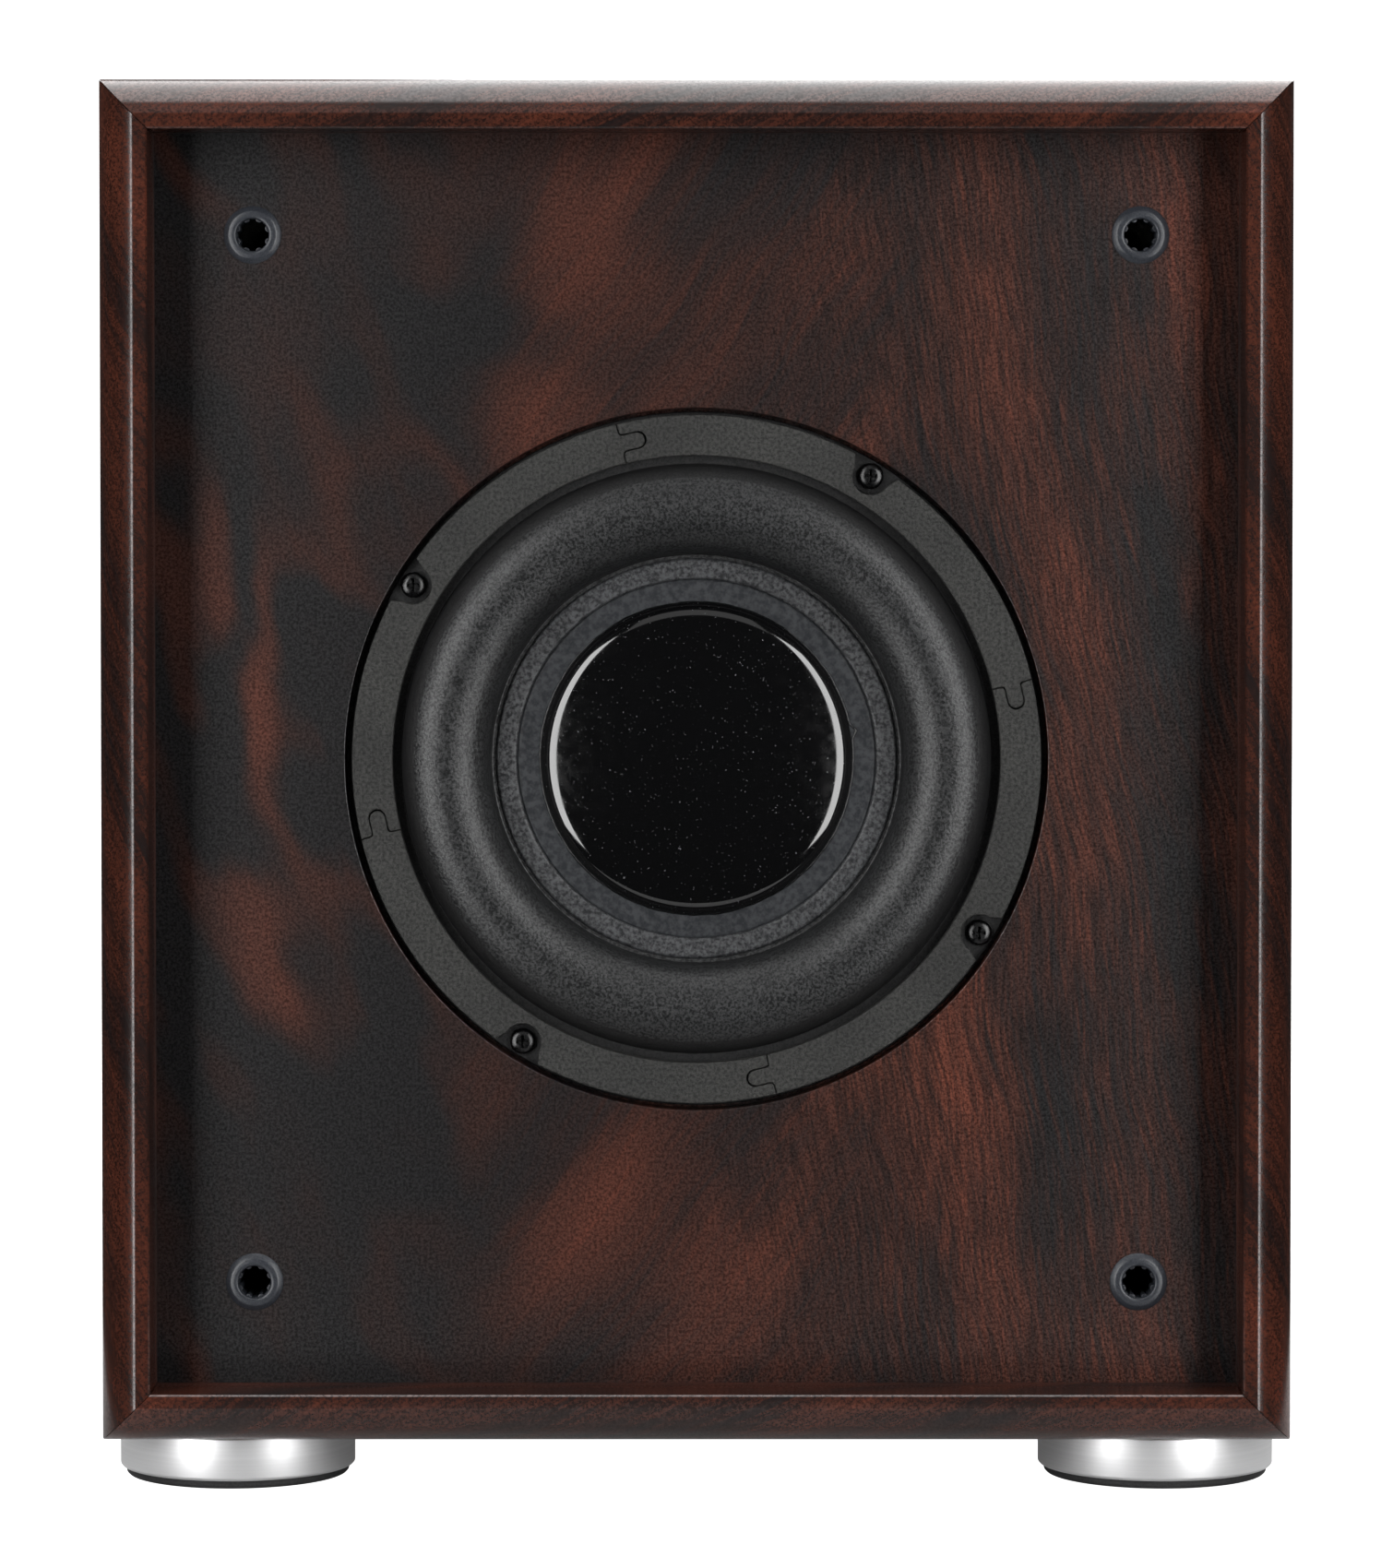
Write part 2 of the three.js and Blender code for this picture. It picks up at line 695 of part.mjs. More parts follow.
function buildSpeakerLead() {
  const y = BAFFLE_FACE + TAG_DEPTH;
  const board = REAR_FACE - BOARD_DEPTH;
  const radius = 2.4;
  const route = [
    [TAG_X + 12 + radius, y + 1, MIDDLE + 2],
    [TAG_X + 20, y + 10, MIDDLE - 6],
    [TAG_X + 24, y + 60, MIDDLE - 50],
    [TAG_X + 4, y + 130, MIDDLE - 85],
    [TAG_X - 50, board - 70, MIDDLE - 70],
    [TAG_X - 60, board - 20, PLATE_MIDDLE - 20],
    [TAG_X - 60, board - JOINT_GAP, PLATE_MIDDLE - 18],
  ];
  add("speaker_lead", tube(route, radius, 24), satinBlack);
}

// ---------------------------------------------------------------- grille sockets
const SOCKET_FLANGE = 8.5;
const SOCKET_BORE = 4.8;
const SOCKET_TEETH = 8;
const SOCKET_LENGTH = 14;

function socketBore() {
  const tooth = 0.75;
  const path = new THREE.Path();
  for (let i = 0; i < SOCKET_TEETH; i++) {
    const middle = (2 * Math.PI * i) / SOCKET_TEETH;
    for (const [radius, turn] of [
      [SOCKET_BORE, -0.16],
      [SOCKET_BORE - tooth, -0.12],
      [SOCKET_BORE - tooth, 0.12],
      [SOCKET_BORE, 0.16],
    ]) {
      const [x, z] = polar(radius, middle + turn);
      if (path.curves.length || path.currentPoint.length()) path.lineTo(x, z);
      else path.moveTo(x, z);
    }
  }
  path.closePath();
  return path;
}

function buildSockets() {
  const barrel = new THREE.Shape().absarc(0, 0, SOCKET_HOLE - 0.35, 0, 2 * Math.PI, false);
  barrel.holes.push(socketBore());
  const sleeve = plateOf(barrel, -0.6, SOCKET_LENGTH, 5);
  const flange = revolve(
    [
      [SOCKET_BORE + 0.25, -1.1],
      [SOCKET_BORE + 1.2, -1.5],
      [SOCKET_FLANGE - 0.9, -1.1],
      [SOCKET_FLANGE, -0.3],
      [SOCKET_BORE + 0.25, -0.3],
    ],
    24,
  );
  const socket = join(sleeve, flange);
  for (const [place, x, z] of SOCKET_PLACES) {
    add(`grille_socket_${place}`, socket, satinBlack).position.set(x, BAFFLE_FACE, z);
  }
}

// ---------------------------------------------------------------- feet
const FOOT_RADIUS = 35.2;
const PAD_RADIUS = 33.4;
const PAD_SHOWN = 2.5;
const PAD_THICK = 4;

function buildFeet() {
  const shell = revolveUpright([
    [0, PAD_THICK + JOINT_GAP],
    [PAD_RADIUS + JOINT_GAP, PAD_THICK + JOINT_GAP],
    [PAD_RADIUS + JOINT_GAP, PAD_SHOWN],
    [FOOT_RADIUS - 0.6, PAD_SHOWN],
    [FOOT_RADIUS, PAD_SHOWN + 0.6],
    [FOOT_RADIUS, FOOT_HEIGHT - JOINT_GAP],
    [STUD_RADIUS, FOOT_HEIGHT - JOINT_GAP],
    [STUD_RADIUS, FOOT_HEIGHT + STUD_LENGTH],
    [0, FOOT_HEIGHT + STUD_LENGTH],
  ]);
  const pad = revolveUpright([
    [0, 0],
    [PAD_RADIUS - 0.6, 0],
    [PAD_RADIUS, 0.6],
    [PAD_RADIUS, PAD_THICK],
    [0, PAD_THICK],
  ]);
  for (const [name, x, y] of FOOT_PLACES) {
    const foot = subgroup(x, y, 0);
    add(`foot_${name}`, shell, aluminium, foot);
    add(`foot_pad_${name}`, pad, rubber, foot);
  }
}

// ---------------------------------------------------------------- plate amplifier
// In this group y is counted outwards from the rear panel's face, and x and z from the middle of
// the amplifier panel. It is looked at from behind, so a smaller x is further to the right.
const amplifier = subgroup(0, REAR_FACE, PLATE_MIDDLE);
const SINK = { x: 0, z: 76, width: 160, height: 72, fins: 16, fin: 2.4, base: 4 };
const TOROID = { x: 0, z: 64, radius: 36, hole: 11, height: 38 };
const VOLUME = { x: 72, z: 14 };
const CROSSOVER = { x: 34, z: 14 };
const PHASE = { x: -4, z: 14 };
const MODE = { x: -36, z: 14 };
const LAMP = { x: -68, z: 14 };
const JACKS = { x: 66, z: -36, width: 34, height: 36 };
const CLIPS = { x: -14, z: -36, width: 66, height: 32 };
const INLET = { x: 56, z: -93, width: 32, height: 36 };
const SWITCH = { x: -14, z: -93, width: 26, height: 20 };
const SHAFT_RADIUS = 3;
const SLIDER_TRAVEL = 4;
const SLIDER_WIDTH = 4;
const FLANGE_FACE = PLATE + JOINT_GAP; // where a connector's flange starts
const BEHIND_FLANGE = 2.5; // how much smaller a connector's body is than its flange, on each side

// A box centred on a place on the panel, between two y values.
function panelBox(place, width, height, y0, y1) {
  const [x, z] = [place.x, place.z];
  return box(x - width / 2, x + width / 2, y0, y1, z - height / 2, z + height / 2);
}

// A connector's body, which goes through the panel, and the flange that holds it there.
function connector(place, inside, flangeThickness) {
  const width = place.width - 2 * BEHIND_FLANGE;
  const height = place.height - 2 * BEHIND_FLANGE;
  const body = panelBox(place, width, height, -inside, FLANGE_FACE + 1);
  const outer = FLANGE_FACE + flangeThickness;
  return join(body, panelBox(place, place.width, place.height, FLANGE_FACE, outer));
}

// An extruded section drawn in Y and Z, which runs along X on both sides of x = 0.
function sectionAlongX(points, width) {
  const shape = new THREE.Shape(points.map(([y, z]) => new THREE.Vector2(y, z)));
  const geometry = new THREE.ExtrudeGeometry(shape, { depth: width, bevelEnabled: false });
  // The shape's own X, Y and depth become Y, Z and X.
  geometry.applyMatrix4(new THREE.Matrix4().set(0, 0, 1, 0, 1, 0, 0, 0, 0, 1, 0, 0, 0, 0, 0, 1));
  return geometry.translate(-width / 2, 0, 0);
}

// The panel's screws are drawn as heads that are one body with it.
const PANEL_SCREW_HEAD = [
  [0, PLATE - 1],
  [3.6, PLATE - 1],
  [3.6, PLATE + 1],
  [2.2, PLATE + 2],
  [0, PLATE + 2.2],
];

// One screw at each corner and one in the middle of each side.
function panelScrewPlaces() {
  const x = (PLATE_WIDTH - PLATE_BORDER) / 2;
  const z = (PLATE_HEIGHT - PLATE_BORDER) / 2;
  const places = [-x, 0, x].flatMap((across) => [-z, 0, z].map((up) => [across, up]));
  return places.filter(([across, up]) => across !== 0 || up !== 0);
}

function buildAmpPlate() {
  const through = [-1, PLATE + 1];
  const tools = [VOLUME, CROSSOVER].map((knob) => bar(4.2, ...through, knob.x, knob.z));
  tools.push(bar(2.9, ...through, LAMP.x, LAMP.z, 12));
  const phaseSlot = { x: PHASE.x + SLIDER_TRAVEL / 2, z: PHASE.z };
  tools.push(panelBox(phaseSlot, SLIDER_WIDTH + SLIDER_TRAVEL + 1, 5, ...through));
  tools.push(panelBox(MODE, SLIDER_WIDTH + 2 * SLIDER_TRAVEL + 1, 5, ...through));
  for (const opening of [JACKS, CLIPS, INLET, SWITCH]) {
    tools.push(panelBox(opening, opening.width - 4, opening.height - 4, ...through));
  }
  const panel = plateOf(roundedRectangle(PLATE_WIDTH, PLATE_HEIGHT, 6), 0, PLATE, 3);
  const heads = panelScrewPlaces().map(([x, z]) => revolve(PANEL_SCREW_HEAD, 10).translate(x, 0, z));
  add("amplifier_panel", join(cut(panel, ...tools), ...heads), blackSteel, amplifier);
}

function buildHeatSink() {
  const outline = new THREE.Shape();
  const back = PLATE + JOINT_GAP;
  const valley = back + SINK.base;
  const tip = PLATE + SINK_HEIGHT;
  const pitch = (SINK.width - SINK.fin) / (SINK.fins - 1);
  outline.moveTo(-SINK.width / 2, back);
  for (let i = 0; i < SINK.fins; i++) {
    const left = pitch * i - SINK.width / 2;
    if (i > 0) outline.lineTo(left, valley);
    outline.lineTo(left, tip);
    outline.lineTo(left + SINK.fin, tip);
    if (i < SINK.fins - 1) outline.lineTo(left + SINK.fin, valley);
  }
  outline.lineTo(SINK.width / 2, back);
  outline.closePath();
  const fins = new THREE.ExtrudeGeometry(outline, { depth: SINK.height, bevelEnabled: false });
  const sink = add("heat_sink", fins, blackSteel, amplifier);
  sink.position.set(SINK.x, 0, SINK.z - SINK.height / 2);
}

function buildAmpBoard() {
  const front = -BOARD_DEPTH;
  const board = box(-85, 85, front, front + 1.6, -62, 24);
  const parts = [];
  for (const knob of [VOLUME, CROSSOVER]) {
    parts.push(panelBox(knob, 16, 16, front + 1, -8));
    parts.push(bar(3.6, -9, PLATE - 0.5, knob.x, knob.z));
    parts.push(bar(SHAFT_RADIUS, PLATE - 1, PLATE + 11, knob.x, knob.z, 12));
  }
  for (const slider of [PHASE, MODE]) {
    parts.push(panelBox(slider, 22, 10, front + 1, -5));
  }
  for (const x of [-60, -30]) {
    parts.push(bar(11, front - 30, front + 0.5, x, -30));
  }
  const chipCooler = box(20, 70, front - 16, front + 0.5, -50, -44);
  add("amplifier_board", join(board, ...parts, chipCooler), boardGreen, amplifier);
}

function buildTransformer() {
  const back = -JOINT_GAP;
  const front = back - TOROID.height;
  const edge = 4;
  const toroid = revolve([
    [TOROID.hole, back - edge],
    [TOROID.hole + edge, back],
    [TOROID.radius - edge, back],
    [TOROID.radius, back - edge],
    [TOROID.radius, front + edge],
    [TOROID.radius - edge, front],
    [TOROID.hole + edge, front],
    [TOROID.hole, front + edge],
  ]);
  add("toroidal_transformer", toroid, copper, amplifier).position.set(TOROID.x, 0, TOROID.z);
}

const KNOB_RADIUS = 9.5;
const KNOB_HEIGHT = 15;
const SHAFT_SOCKET = 11; // depth of the knob's hole for its shaft

function buildKnobs() {
  const foot = PLATE + 1;
  const knob = revolve(
    [
      [0, foot + SHAFT_SOCKET],
      [SHAFT_RADIUS + 0.3, foot + SHAFT_SOCKET],
      [SHAFT_RADIUS + 0.3, foot],
      [KNOB_RADIUS, foot],
      [KNOB_RADIUS - 0.5, foot + KNOB_HEIGHT - 1],
      [KNOB_RADIUS - 1.5, foot + KNOB_HEIGHT],
      [0, foot + KNOB_HEIGHT],
    ],
    24,
  );
  add("volume_knob", knob, satinBlack, amplifier).position.set(VOLUME.x, 0, VOLUME.z);
  add("crossover_knob", knob, satinBlack, amplifier).position.set(CROSSOVER.x, 0, CROSSOVER.z);
}

function buildSliders() {
  const origin = { x: 0, z: 0 };
  const nub = panelBox(origin, SLIDER_WIDTH, 4, -2.5, PLATE + 3);
  const tongue = panelBox(origin, SLIDER_WIDTH + 3, 7, -3.5, -1);
  const slider = join(nub, tongue);
  add("phase_slider", slider, satinBlack, amplifier).position.set(PHASE.x, 0, PHASE.z);
  add("mode_slider", slider, satinBlack, amplifier).position.set(MODE.x, 0, MODE.z);
}

function buildLamp() {
  const lens = revolve(
    [
      [0, -6],
      [2.5, -6],
      [2.5, PLATE + 0.6],
      [1.6, PLATE + 1.8],
      [0, PLATE + 2.2],
    ],
    SMALL_ROUND,
  );
  add("standby_lamp", lens, blueLens, amplifier).position.set(LAMP.x, 0, LAMP.z);
}

function buildJacks() {
  const barrels = [];
  const holes = [];
  for (const x of [JACKS.x - 8, JACKS.x + 8]) {
    for (const z of [JACKS.z - 9, JACKS.z + 9]) {
      barrels.push(bar(4.2, FLANGE_FACE + 1, FLANGE_FACE + 10, x, z));
      holes.push(bar(1.7, FLANGE_FACE - 6, FLANGE_FACE + 11, x, z, 8));
    }
  }
  const body = join(connector(JACKS, 14, 2), ...barrels);
  add("input_jacks", cut(body, ...holes), nickel, amplifier);
}

// Spring-clip terminals: a housing with four pockets and a lever in each, which tips inwards about
// a pin near its lower end.
const CLIP_FACE = PLATE + 12;
const CLIP_PITCH = 15.5;
const POCKET = { width: 13, height: 25, depth: 14 };
const LEVER_WIDTH = 12;
const LEVER_SECTION = [
  [CLIP_FACE - 7.5, -11],
  [CLIP_FACE - 2.5, -11],
  [CLIP_FACE - 0.5, 11.5],
  [CLIP_FACE - 4.5, 11.5],
];

function buildClips() {
  const names = ["left_plus", "left_minus", "right_plus", "right_minus"];
  const places = [1.5, 0.5, -0.5, -1.5].map((step) => CLIPS.x + CLIP_PITCH * step);
  const pockets = places.map((x) => {
    const pocket = { x, z: CLIPS.z + 0.5 };
    return panelBox(pocket, POCKET.width, POCKET.height, CLIP_FACE - POCKET.depth, CLIP_FACE + 1);
  });
  const housing = connector(CLIPS, 10, CLIP_FACE - FLANGE_FACE);
  add("terminal_block", cut(housing, ...pockets), satinBlack, amplifier);
  const lever = sectionAlongX(LEVER_SECTION, LEVER_WIDTH);
  names.forEach((name, i) => {
    const material = i % 2 ? satinBlack : redPlastic;
    add(`clip_lever_${name}`, lever, material, amplifier).position.set(places[i], 0, CLIPS.z);
  });
}

// Mains inlet with three blades in its cavity and a fuse drawer under it.
const CAVITY = { x: INLET.x, z: INLET.z + 6, width: 24, height: 15.5, depth: 17 };
const DRAWER = { x: INLET.x, z: INLET.z - 11, width: 22, height: 8, depth: 20 };
const INLET_FLANGE = 2.5;
const BLADES = [
  [-7, -1],
  [0, 2.6],
  [7, -1],
];

function buildInlet() {
  const outer = FLANGE_FACE + INLET_FLANGE;
  const cavity = panelBox(CAVITY, CAVITY.width, CAVITY.height, outer - CAVITY.depth, outer + 1);
  const recess = panelBox(DRAWER, DRAWER.width, DRAWER.height, outer - DRAWER.depth, outer + 1);
  const shell = cut(connector(INLET, 20, INLET_FLANGE), cavity, recess);
  const blades = BLADES.map(([x, z]) =>
    panelBox({ x: CAVITY.x + x, z: CAVITY.z + z }, 2, 4, outer - CAVITY.depth - 1, outer - 5.5),
  );
  add("mains_inlet", join(shell, ...blades), satinBlack, amplifier);
  const clear = 0.8;
  const [width, height] = [DRAWER.width - clear, DRAWER.height - clear];
  const tray = panelBox(DRAWER, width, height, outer - DRAWER.depth + 2, outer + clear);
  add("fuse_drawer", tray, satinBlack, amplifier);
}

// Rocker switch. The rocker's section is a wide V that tips about a pin along X; it is modelled in
// its off position, tipped half of its travel.
const ROCKER_SWING = 18;
const ROCKER_AXIS = PLATE - 1;
const ROCKER_SECTION = [
  [-2.5, -5.6],
  [4.6, -5.6],
  [3.7, 0],
  [4.6, 5.6],
  [-2.5, 5.6],
];

function buildSwitch() {
  const [width, height] = [SWITCH.width - 10, SWITCH.height - 7];
  const well = panelBox(SWITCH, width, height, FLANGE_FACE - 9, FLANGE_FACE + 3);
  add("switch_frame", cut(connector(SWITCH, 14, 2), well), satinBlack, amplifier);
  const rocker = sectionAlongX(ROCKER_SECTION, width - 1);
  const mesh = add("power_rocker", rocker, satinBlack, amplifier);
  mesh.rotation.x = degrees(ROCKER_SWING / 2);
  mesh.position.set(SWITCH.x, ROCKER_AXIS, SWITCH.z);
}

// ---------------------------------------------------------------- assembly
buildCabinet();
buildBaffle();
buildRearPanel();
buildWadding();
buildBasket();
buildFoamRing();
buildDriverScrews();
buildMotor();
buildCone();
buildDustCap();
buildSurround();
buildSpider();
buildDriverWiring();
buildSpeakerLead();
buildSockets();
buildFeet();
buildAmpPlate();
buildHeatSink();
buildAmpBoard();
buildTransformer();
buildKnobs();
buildSliders();
buildLamp();
buildJacks();
buildClips();
buildInlet();
buildSwitch();

export default group;
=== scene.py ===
"""Blender model of the powered subwoofer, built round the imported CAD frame.

Lengths are millimetres in the frame that part.mjs uses; MM scales them to Blender's metres.
"""

import math
import random

import bmesh
import bpy
from mathutils import Matrix, Vector
from mathutils.geometry import tessellate_polygon
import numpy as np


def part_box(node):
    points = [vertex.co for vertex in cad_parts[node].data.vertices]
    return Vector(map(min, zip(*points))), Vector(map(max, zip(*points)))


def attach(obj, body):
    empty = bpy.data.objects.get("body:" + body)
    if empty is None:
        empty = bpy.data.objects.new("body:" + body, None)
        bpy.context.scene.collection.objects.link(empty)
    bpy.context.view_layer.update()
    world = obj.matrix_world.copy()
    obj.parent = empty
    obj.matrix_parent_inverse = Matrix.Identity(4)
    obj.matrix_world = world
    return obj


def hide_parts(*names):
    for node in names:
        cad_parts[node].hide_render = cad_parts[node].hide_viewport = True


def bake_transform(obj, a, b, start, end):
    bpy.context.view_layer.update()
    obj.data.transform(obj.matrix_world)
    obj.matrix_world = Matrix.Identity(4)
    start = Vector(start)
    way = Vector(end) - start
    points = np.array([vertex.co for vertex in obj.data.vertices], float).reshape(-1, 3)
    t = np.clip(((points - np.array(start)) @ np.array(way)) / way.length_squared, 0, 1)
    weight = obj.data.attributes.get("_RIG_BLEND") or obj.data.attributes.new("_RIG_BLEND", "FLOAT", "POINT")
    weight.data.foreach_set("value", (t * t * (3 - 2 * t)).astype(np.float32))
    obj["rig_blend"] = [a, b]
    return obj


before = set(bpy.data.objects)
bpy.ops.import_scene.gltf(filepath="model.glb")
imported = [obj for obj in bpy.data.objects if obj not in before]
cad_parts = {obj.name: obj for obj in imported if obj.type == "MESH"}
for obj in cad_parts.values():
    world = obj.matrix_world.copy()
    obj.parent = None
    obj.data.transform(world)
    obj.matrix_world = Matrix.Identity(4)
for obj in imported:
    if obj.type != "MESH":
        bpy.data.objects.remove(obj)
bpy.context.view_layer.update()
random.seed(8)

MM = 0.001

# ------------------------------------------------------------------ places, from the CAD frame
CABINET = "cabinet"
CONE = "moving_cone"


def corner(node, side):
    """A CAD node's lowest (0) or highest (1) corner in millimetres."""
    return [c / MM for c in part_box(node)[side]]


FRONT = corner("cabinet_top", 0)[1]
REAR = corner("cabinet_top", 1)[1]
TOP = corner("cabinet_top", 1)[2]
STUD = 8  # how far a foot's stud goes into the cabinet
BOTTOM = corner("foot_front_left", 1)[2] - STUD  # of the cabinet, on its feet
WIDTH = 2 * corner("cabinet_right", 1)[0]
HEIGHT = TOP - BOTTOM
MIDDLE = (TOP + BOTTOM) / 2
PANEL = TOP - corner("cabinet_top", 0)[2]  # the walls' thickness
BAFFLE_FACE = corner("front_baffle", 0)[1]
DRIVER = (0, BAFFLE_FACE, MIDDLE)  # on the woofer's axis, in the baffle's face
PANEL_MIDDLE = (corner("amplifier_panel", 0)[2] + corner("amplifier_panel", 1)[2]) / 2
REAR_FACE = corner("amplifier_panel", 0)[1]


def centre(node):
    """The middle of a CAD node's box, in millimetres."""
    return [(low + high) / 2 for low, high in zip(corner(node, 0), corner(node, 1))]


# ------------------------------------------------------------------ mesh helpers
def linked(name, data):
    """A new object that shows the data, in the scene."""
    obj = bpy.data.objects.new(name, data)
    bpy.context.scene.collection.objects.link(obj)
    return obj


def shade(mesh, angle=32):
    """Smooth shading that stays sharp at edges bent by more than angle degrees."""
    mesh.shade_smooth()
    mesh.set_sharp_from_angle(angle=math.radians(angle))


def piece(name, vertices, faces, angle=32, place=(0, 0, 0)):
    """A new mesh object from millimetre points, with its faces turned outwards."""
    moved = [tuple(c + p for c, p in zip(v, place)) for v in vertices]
    mesh = bpy.data.meshes.new(name)
    mesh.from_pydata([tuple(c * MM for c in v) for v in moved], [], faces)
    tidy(mesh)
    shade(mesh, angle)
    return linked(name, mesh)


def tidy(mesh):
    """Welds points that coincide and turns every face outwards."""
    bm = bmesh.new()
    bm.from_mesh(mesh)
    bmesh.ops.remove_doubles(bm, verts=bm.verts, dist=1e-6)
    bmesh.ops.recalc_face_normals(bm, faces=bm.faces)
    bm.to_mesh(mesh)
    bm.free()


def turned(name, outline, place=(0, 0, 0), steps=128, upright=False, angle=32):
    """A closed [radius, along] outline turned round the Y axis, or round Z where upright."""
    vertices, rings = [], []
    for radius, along in outline:
        count = steps if radius > 1e-6 else 1
        rings.append(range(len(vertices), len(vertices) + count))
        for k in range(count):
            turn = 2 * math.pi * k / steps
            x, z = radius * math.cos(turn), radius * math.sin(turn)
            vertices.append((x, z, along) if upright else (x, along, z))
    faces = []
    for a, b in zip(rings, rings[1:] + rings[:1]):
        for k in range(steps):
            ring = [a[k % len(a)], b[k % len(b)], b[(k + 1) % len(b)], a[(k + 1) % len(a)]]
            face = list(dict.fromkeys(ring))
            if len(face) > 2:
                faces.append(face)
    return piece(name, vertices, faces, angle, place)


def softened(outline, radius, steps=3, least=15):
    """The closed outline with each corner sharper than least degrees rounded off."""
    result = []
    count = len(outline)
    for i, point in enumerate(outline):
        here = Vector(point)
        before = Vector(outline[i - 1]) - here
        after = Vector(outline[(i + 1) % count]) - here
        bend = math.degrees(math.pi - before.angle(after))
        if here.x <= 1e-6 or bend < least:
            result.append(tuple(here))
            continue
        reach = min(radius, 0.45 * before.length, 0.45 * after.length)
        start = here + before.normalized() * reach
        end = here + after.normalized() * reach
        for k in range(steps + 1):
            t = k / steps
            result.append(tuple(start * (1 - t) ** 2 + here * 2 * t * (1 - t) + end * t**2))
    return result


def circle(radius, x=0, z=0, steps=96):
    angles = [2 * math.pi * k / steps for k in range(steps)]
    return [(x + radius * math.cos(a), z + radius * math.sin(a)) for a in angles]


def signed_area(loop):
    return sum(a[0] * b[1] - b[0] * a[1] for a, b in zip(loop, loop[1:] + loop[:1])) / 2


def inset(loop, distance):
    """The loop moved to its left by distance: into the material, for an outline run anticlockwise."""
    moved = []
    count = len(loop)
    for i, point in enumerate(loop):
        into = (Vector(point) - Vector(loop[i - 1])).normalized()
        out = (Vector(loop[(i + 1) % count]) - Vector(point)).normalized()
        left = Vector((-into.y, into.x)) + Vector((-out.y, out.x))
        if left.length < 1e-6:
            left = Vector((-into.y, into.x))
        left.normalize()
        stretch = max(0.5, left.dot(Vector((-into.y, into.x))))
        moved.append(tuple(Vector(point) + left * distance / stretch))
    return moved


FLAT_RIM = 0.4  # a ring of flat faces just inside a rounded edge, which keeps the face's shading flat


def plate(name, outer, holes, front, back, edge=0.4, edge_steps=3, place=(0, 0, 0), angle=32):
    """A flat piece drawn in X and Z, with holes, between two Y values and with rounded edges."""
    loops = [outer if signed_area(outer) > 0 else outer[::-1]]
    loops += [hole if signed_area(hole) < 0 else hole[::-1] for hole in holes]
    layers = [(edge + FLAT_RIM, front)]
    for k in range(edge_steps + 1):
        turn = math.pi / 2 * k / edge_steps
        layers.append((edge * (1 - math.sin(turn)), front + edge * (1 - math.cos(turn))))
    layers += [(pull, front + back - y) for pull, y in reversed(layers)]
    vertices, faces, caps = [], [], []
    for loop in loops:
        count = len(loop)
        start = len(vertices)
        for pull, y in layers:
            vertices += [(x, y, z) for x, z in inset(loop, pull)]
        for layer in range(len(layers) - 1):
            for k in range(count):
                a = start + layer * count + k
                b = start + layer * count + (k + 1) % count
                faces.append((a, b, b + count, a + count))
        caps.append((start, start + (len(layers) - 1) * count, count))
    for end in (0, 1):
        rims = [range(cap[end], cap[end] + cap[2]) for cap in caps]
        flat = [[Vector((vertices[i][0], vertices[i][2], 0)) for i in rim] for rim in rims]
        index = [i for rim in rims for i in rim]
        faces += [[index[i] for i in triangle] for triangle in tessellate_polygon(flat)]
    return piece(name, vertices, faces, angle, place)


def block(name, x, y, z, edge=0.4):
    """A box between pairs of values, with its vertical and front edges rounded."""
    outer = [(x[0], z[0]), (x[1], z[0]), (x[1], z[1]), (x[0], z[1])]
    return plate(name, softened_loop(outer, edge), [], y[0], y[1], edge)


def softened_loop(outline, radius, steps=3):
    """softened(), for an outline that isn't turned, so that no point counts as on the axis."""
    far = 1e4
    shifted = softened([(x + far, z) for x, z in outline], radius, steps)
    return [(x - far, z) for x, z in shifted]


def apply_modifiers(obj):
    """Replaces the object's mesh by what its modifiers make of it."""
    bpy.context.view_layer.update()
    shaped = obj.evaluated_get(bpy.context.evaluated_depsgraph_get())
    mesh = bpy.data.meshes.new_from_object(shaped)
    obj.modifiers.clear()
    obj.data = mesh


def cut(obj, *tools):
    """Cuts closed tools out of obj, and deletes them."""
    for tool in tools:
        modifier = obj.modifiers.new("cut", "BOOLEAN")
        modifier.object = tool
        modifier.solver = "EXACT"
    apply_modifiers(obj)
    tidy(obj.data)
    shade(obj.data)
    for tool in tools:
        bpy.data.objects.remove(tool)
    return obj


def joined(name, parts):
    """One object from several, keeping each part's material."""
    mesh = bpy.data.meshes.new(name)
    bm = bmesh.new()
    for part in parts:
        offset = len(mesh.materials)
        for material in part.data.materials:
            mesh.materials.append(material)
        before = len(bm.faces)
        part.data.transform(part.matrix_world)
        bm.from_mesh(part.data)
        bm.faces.ensure_lookup_table()
        for face in bm.faces[before:]:
            face.material_index += offset
    bm.to_mesh(mesh)
    bm.free()
    for part in parts:
        bpy.data.objects.remove(part)
    return linked(name, mesh)


def tube(name, rings, closed, angle):
    """A skin over rings of equally many points, closed into a loop or with flat ends."""
    sides = len(rings[0])
    vertices = [point for ring in rings for point in ring]
    faces = []
    for k in range(len(rings) if closed else len(rings) - 1):
        a, b = k * sides, (k + 1) % len(rings) * sides
        for n in range(sides):
            c = (n + 1) % sides
            faces.append((a + n, b + n, b + c, a + c))
    if not closed:
        last = (len(rings) - 1) * sides
        faces += [list(range(sides)), list(range(last, last + sides))]
    return piece(name, vertices, faces, angle)


def coloured(obj, material):
    obj.data.materials.append(material)
    return obj


def finished(obj, material, slot, node=None, body=CABINET):
    """Gives a piece its material, the CAD node that it stands for and its body; the slot is not used."""
    obj.data.materials.clear()
    return placed(coloured(obj, material), node, body)


def placed(obj, node=None, body=CABINET):
    """finished(), for a piece that has its materials already."""
    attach(obj, body)
    if node:
        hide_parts(node)
    return obj


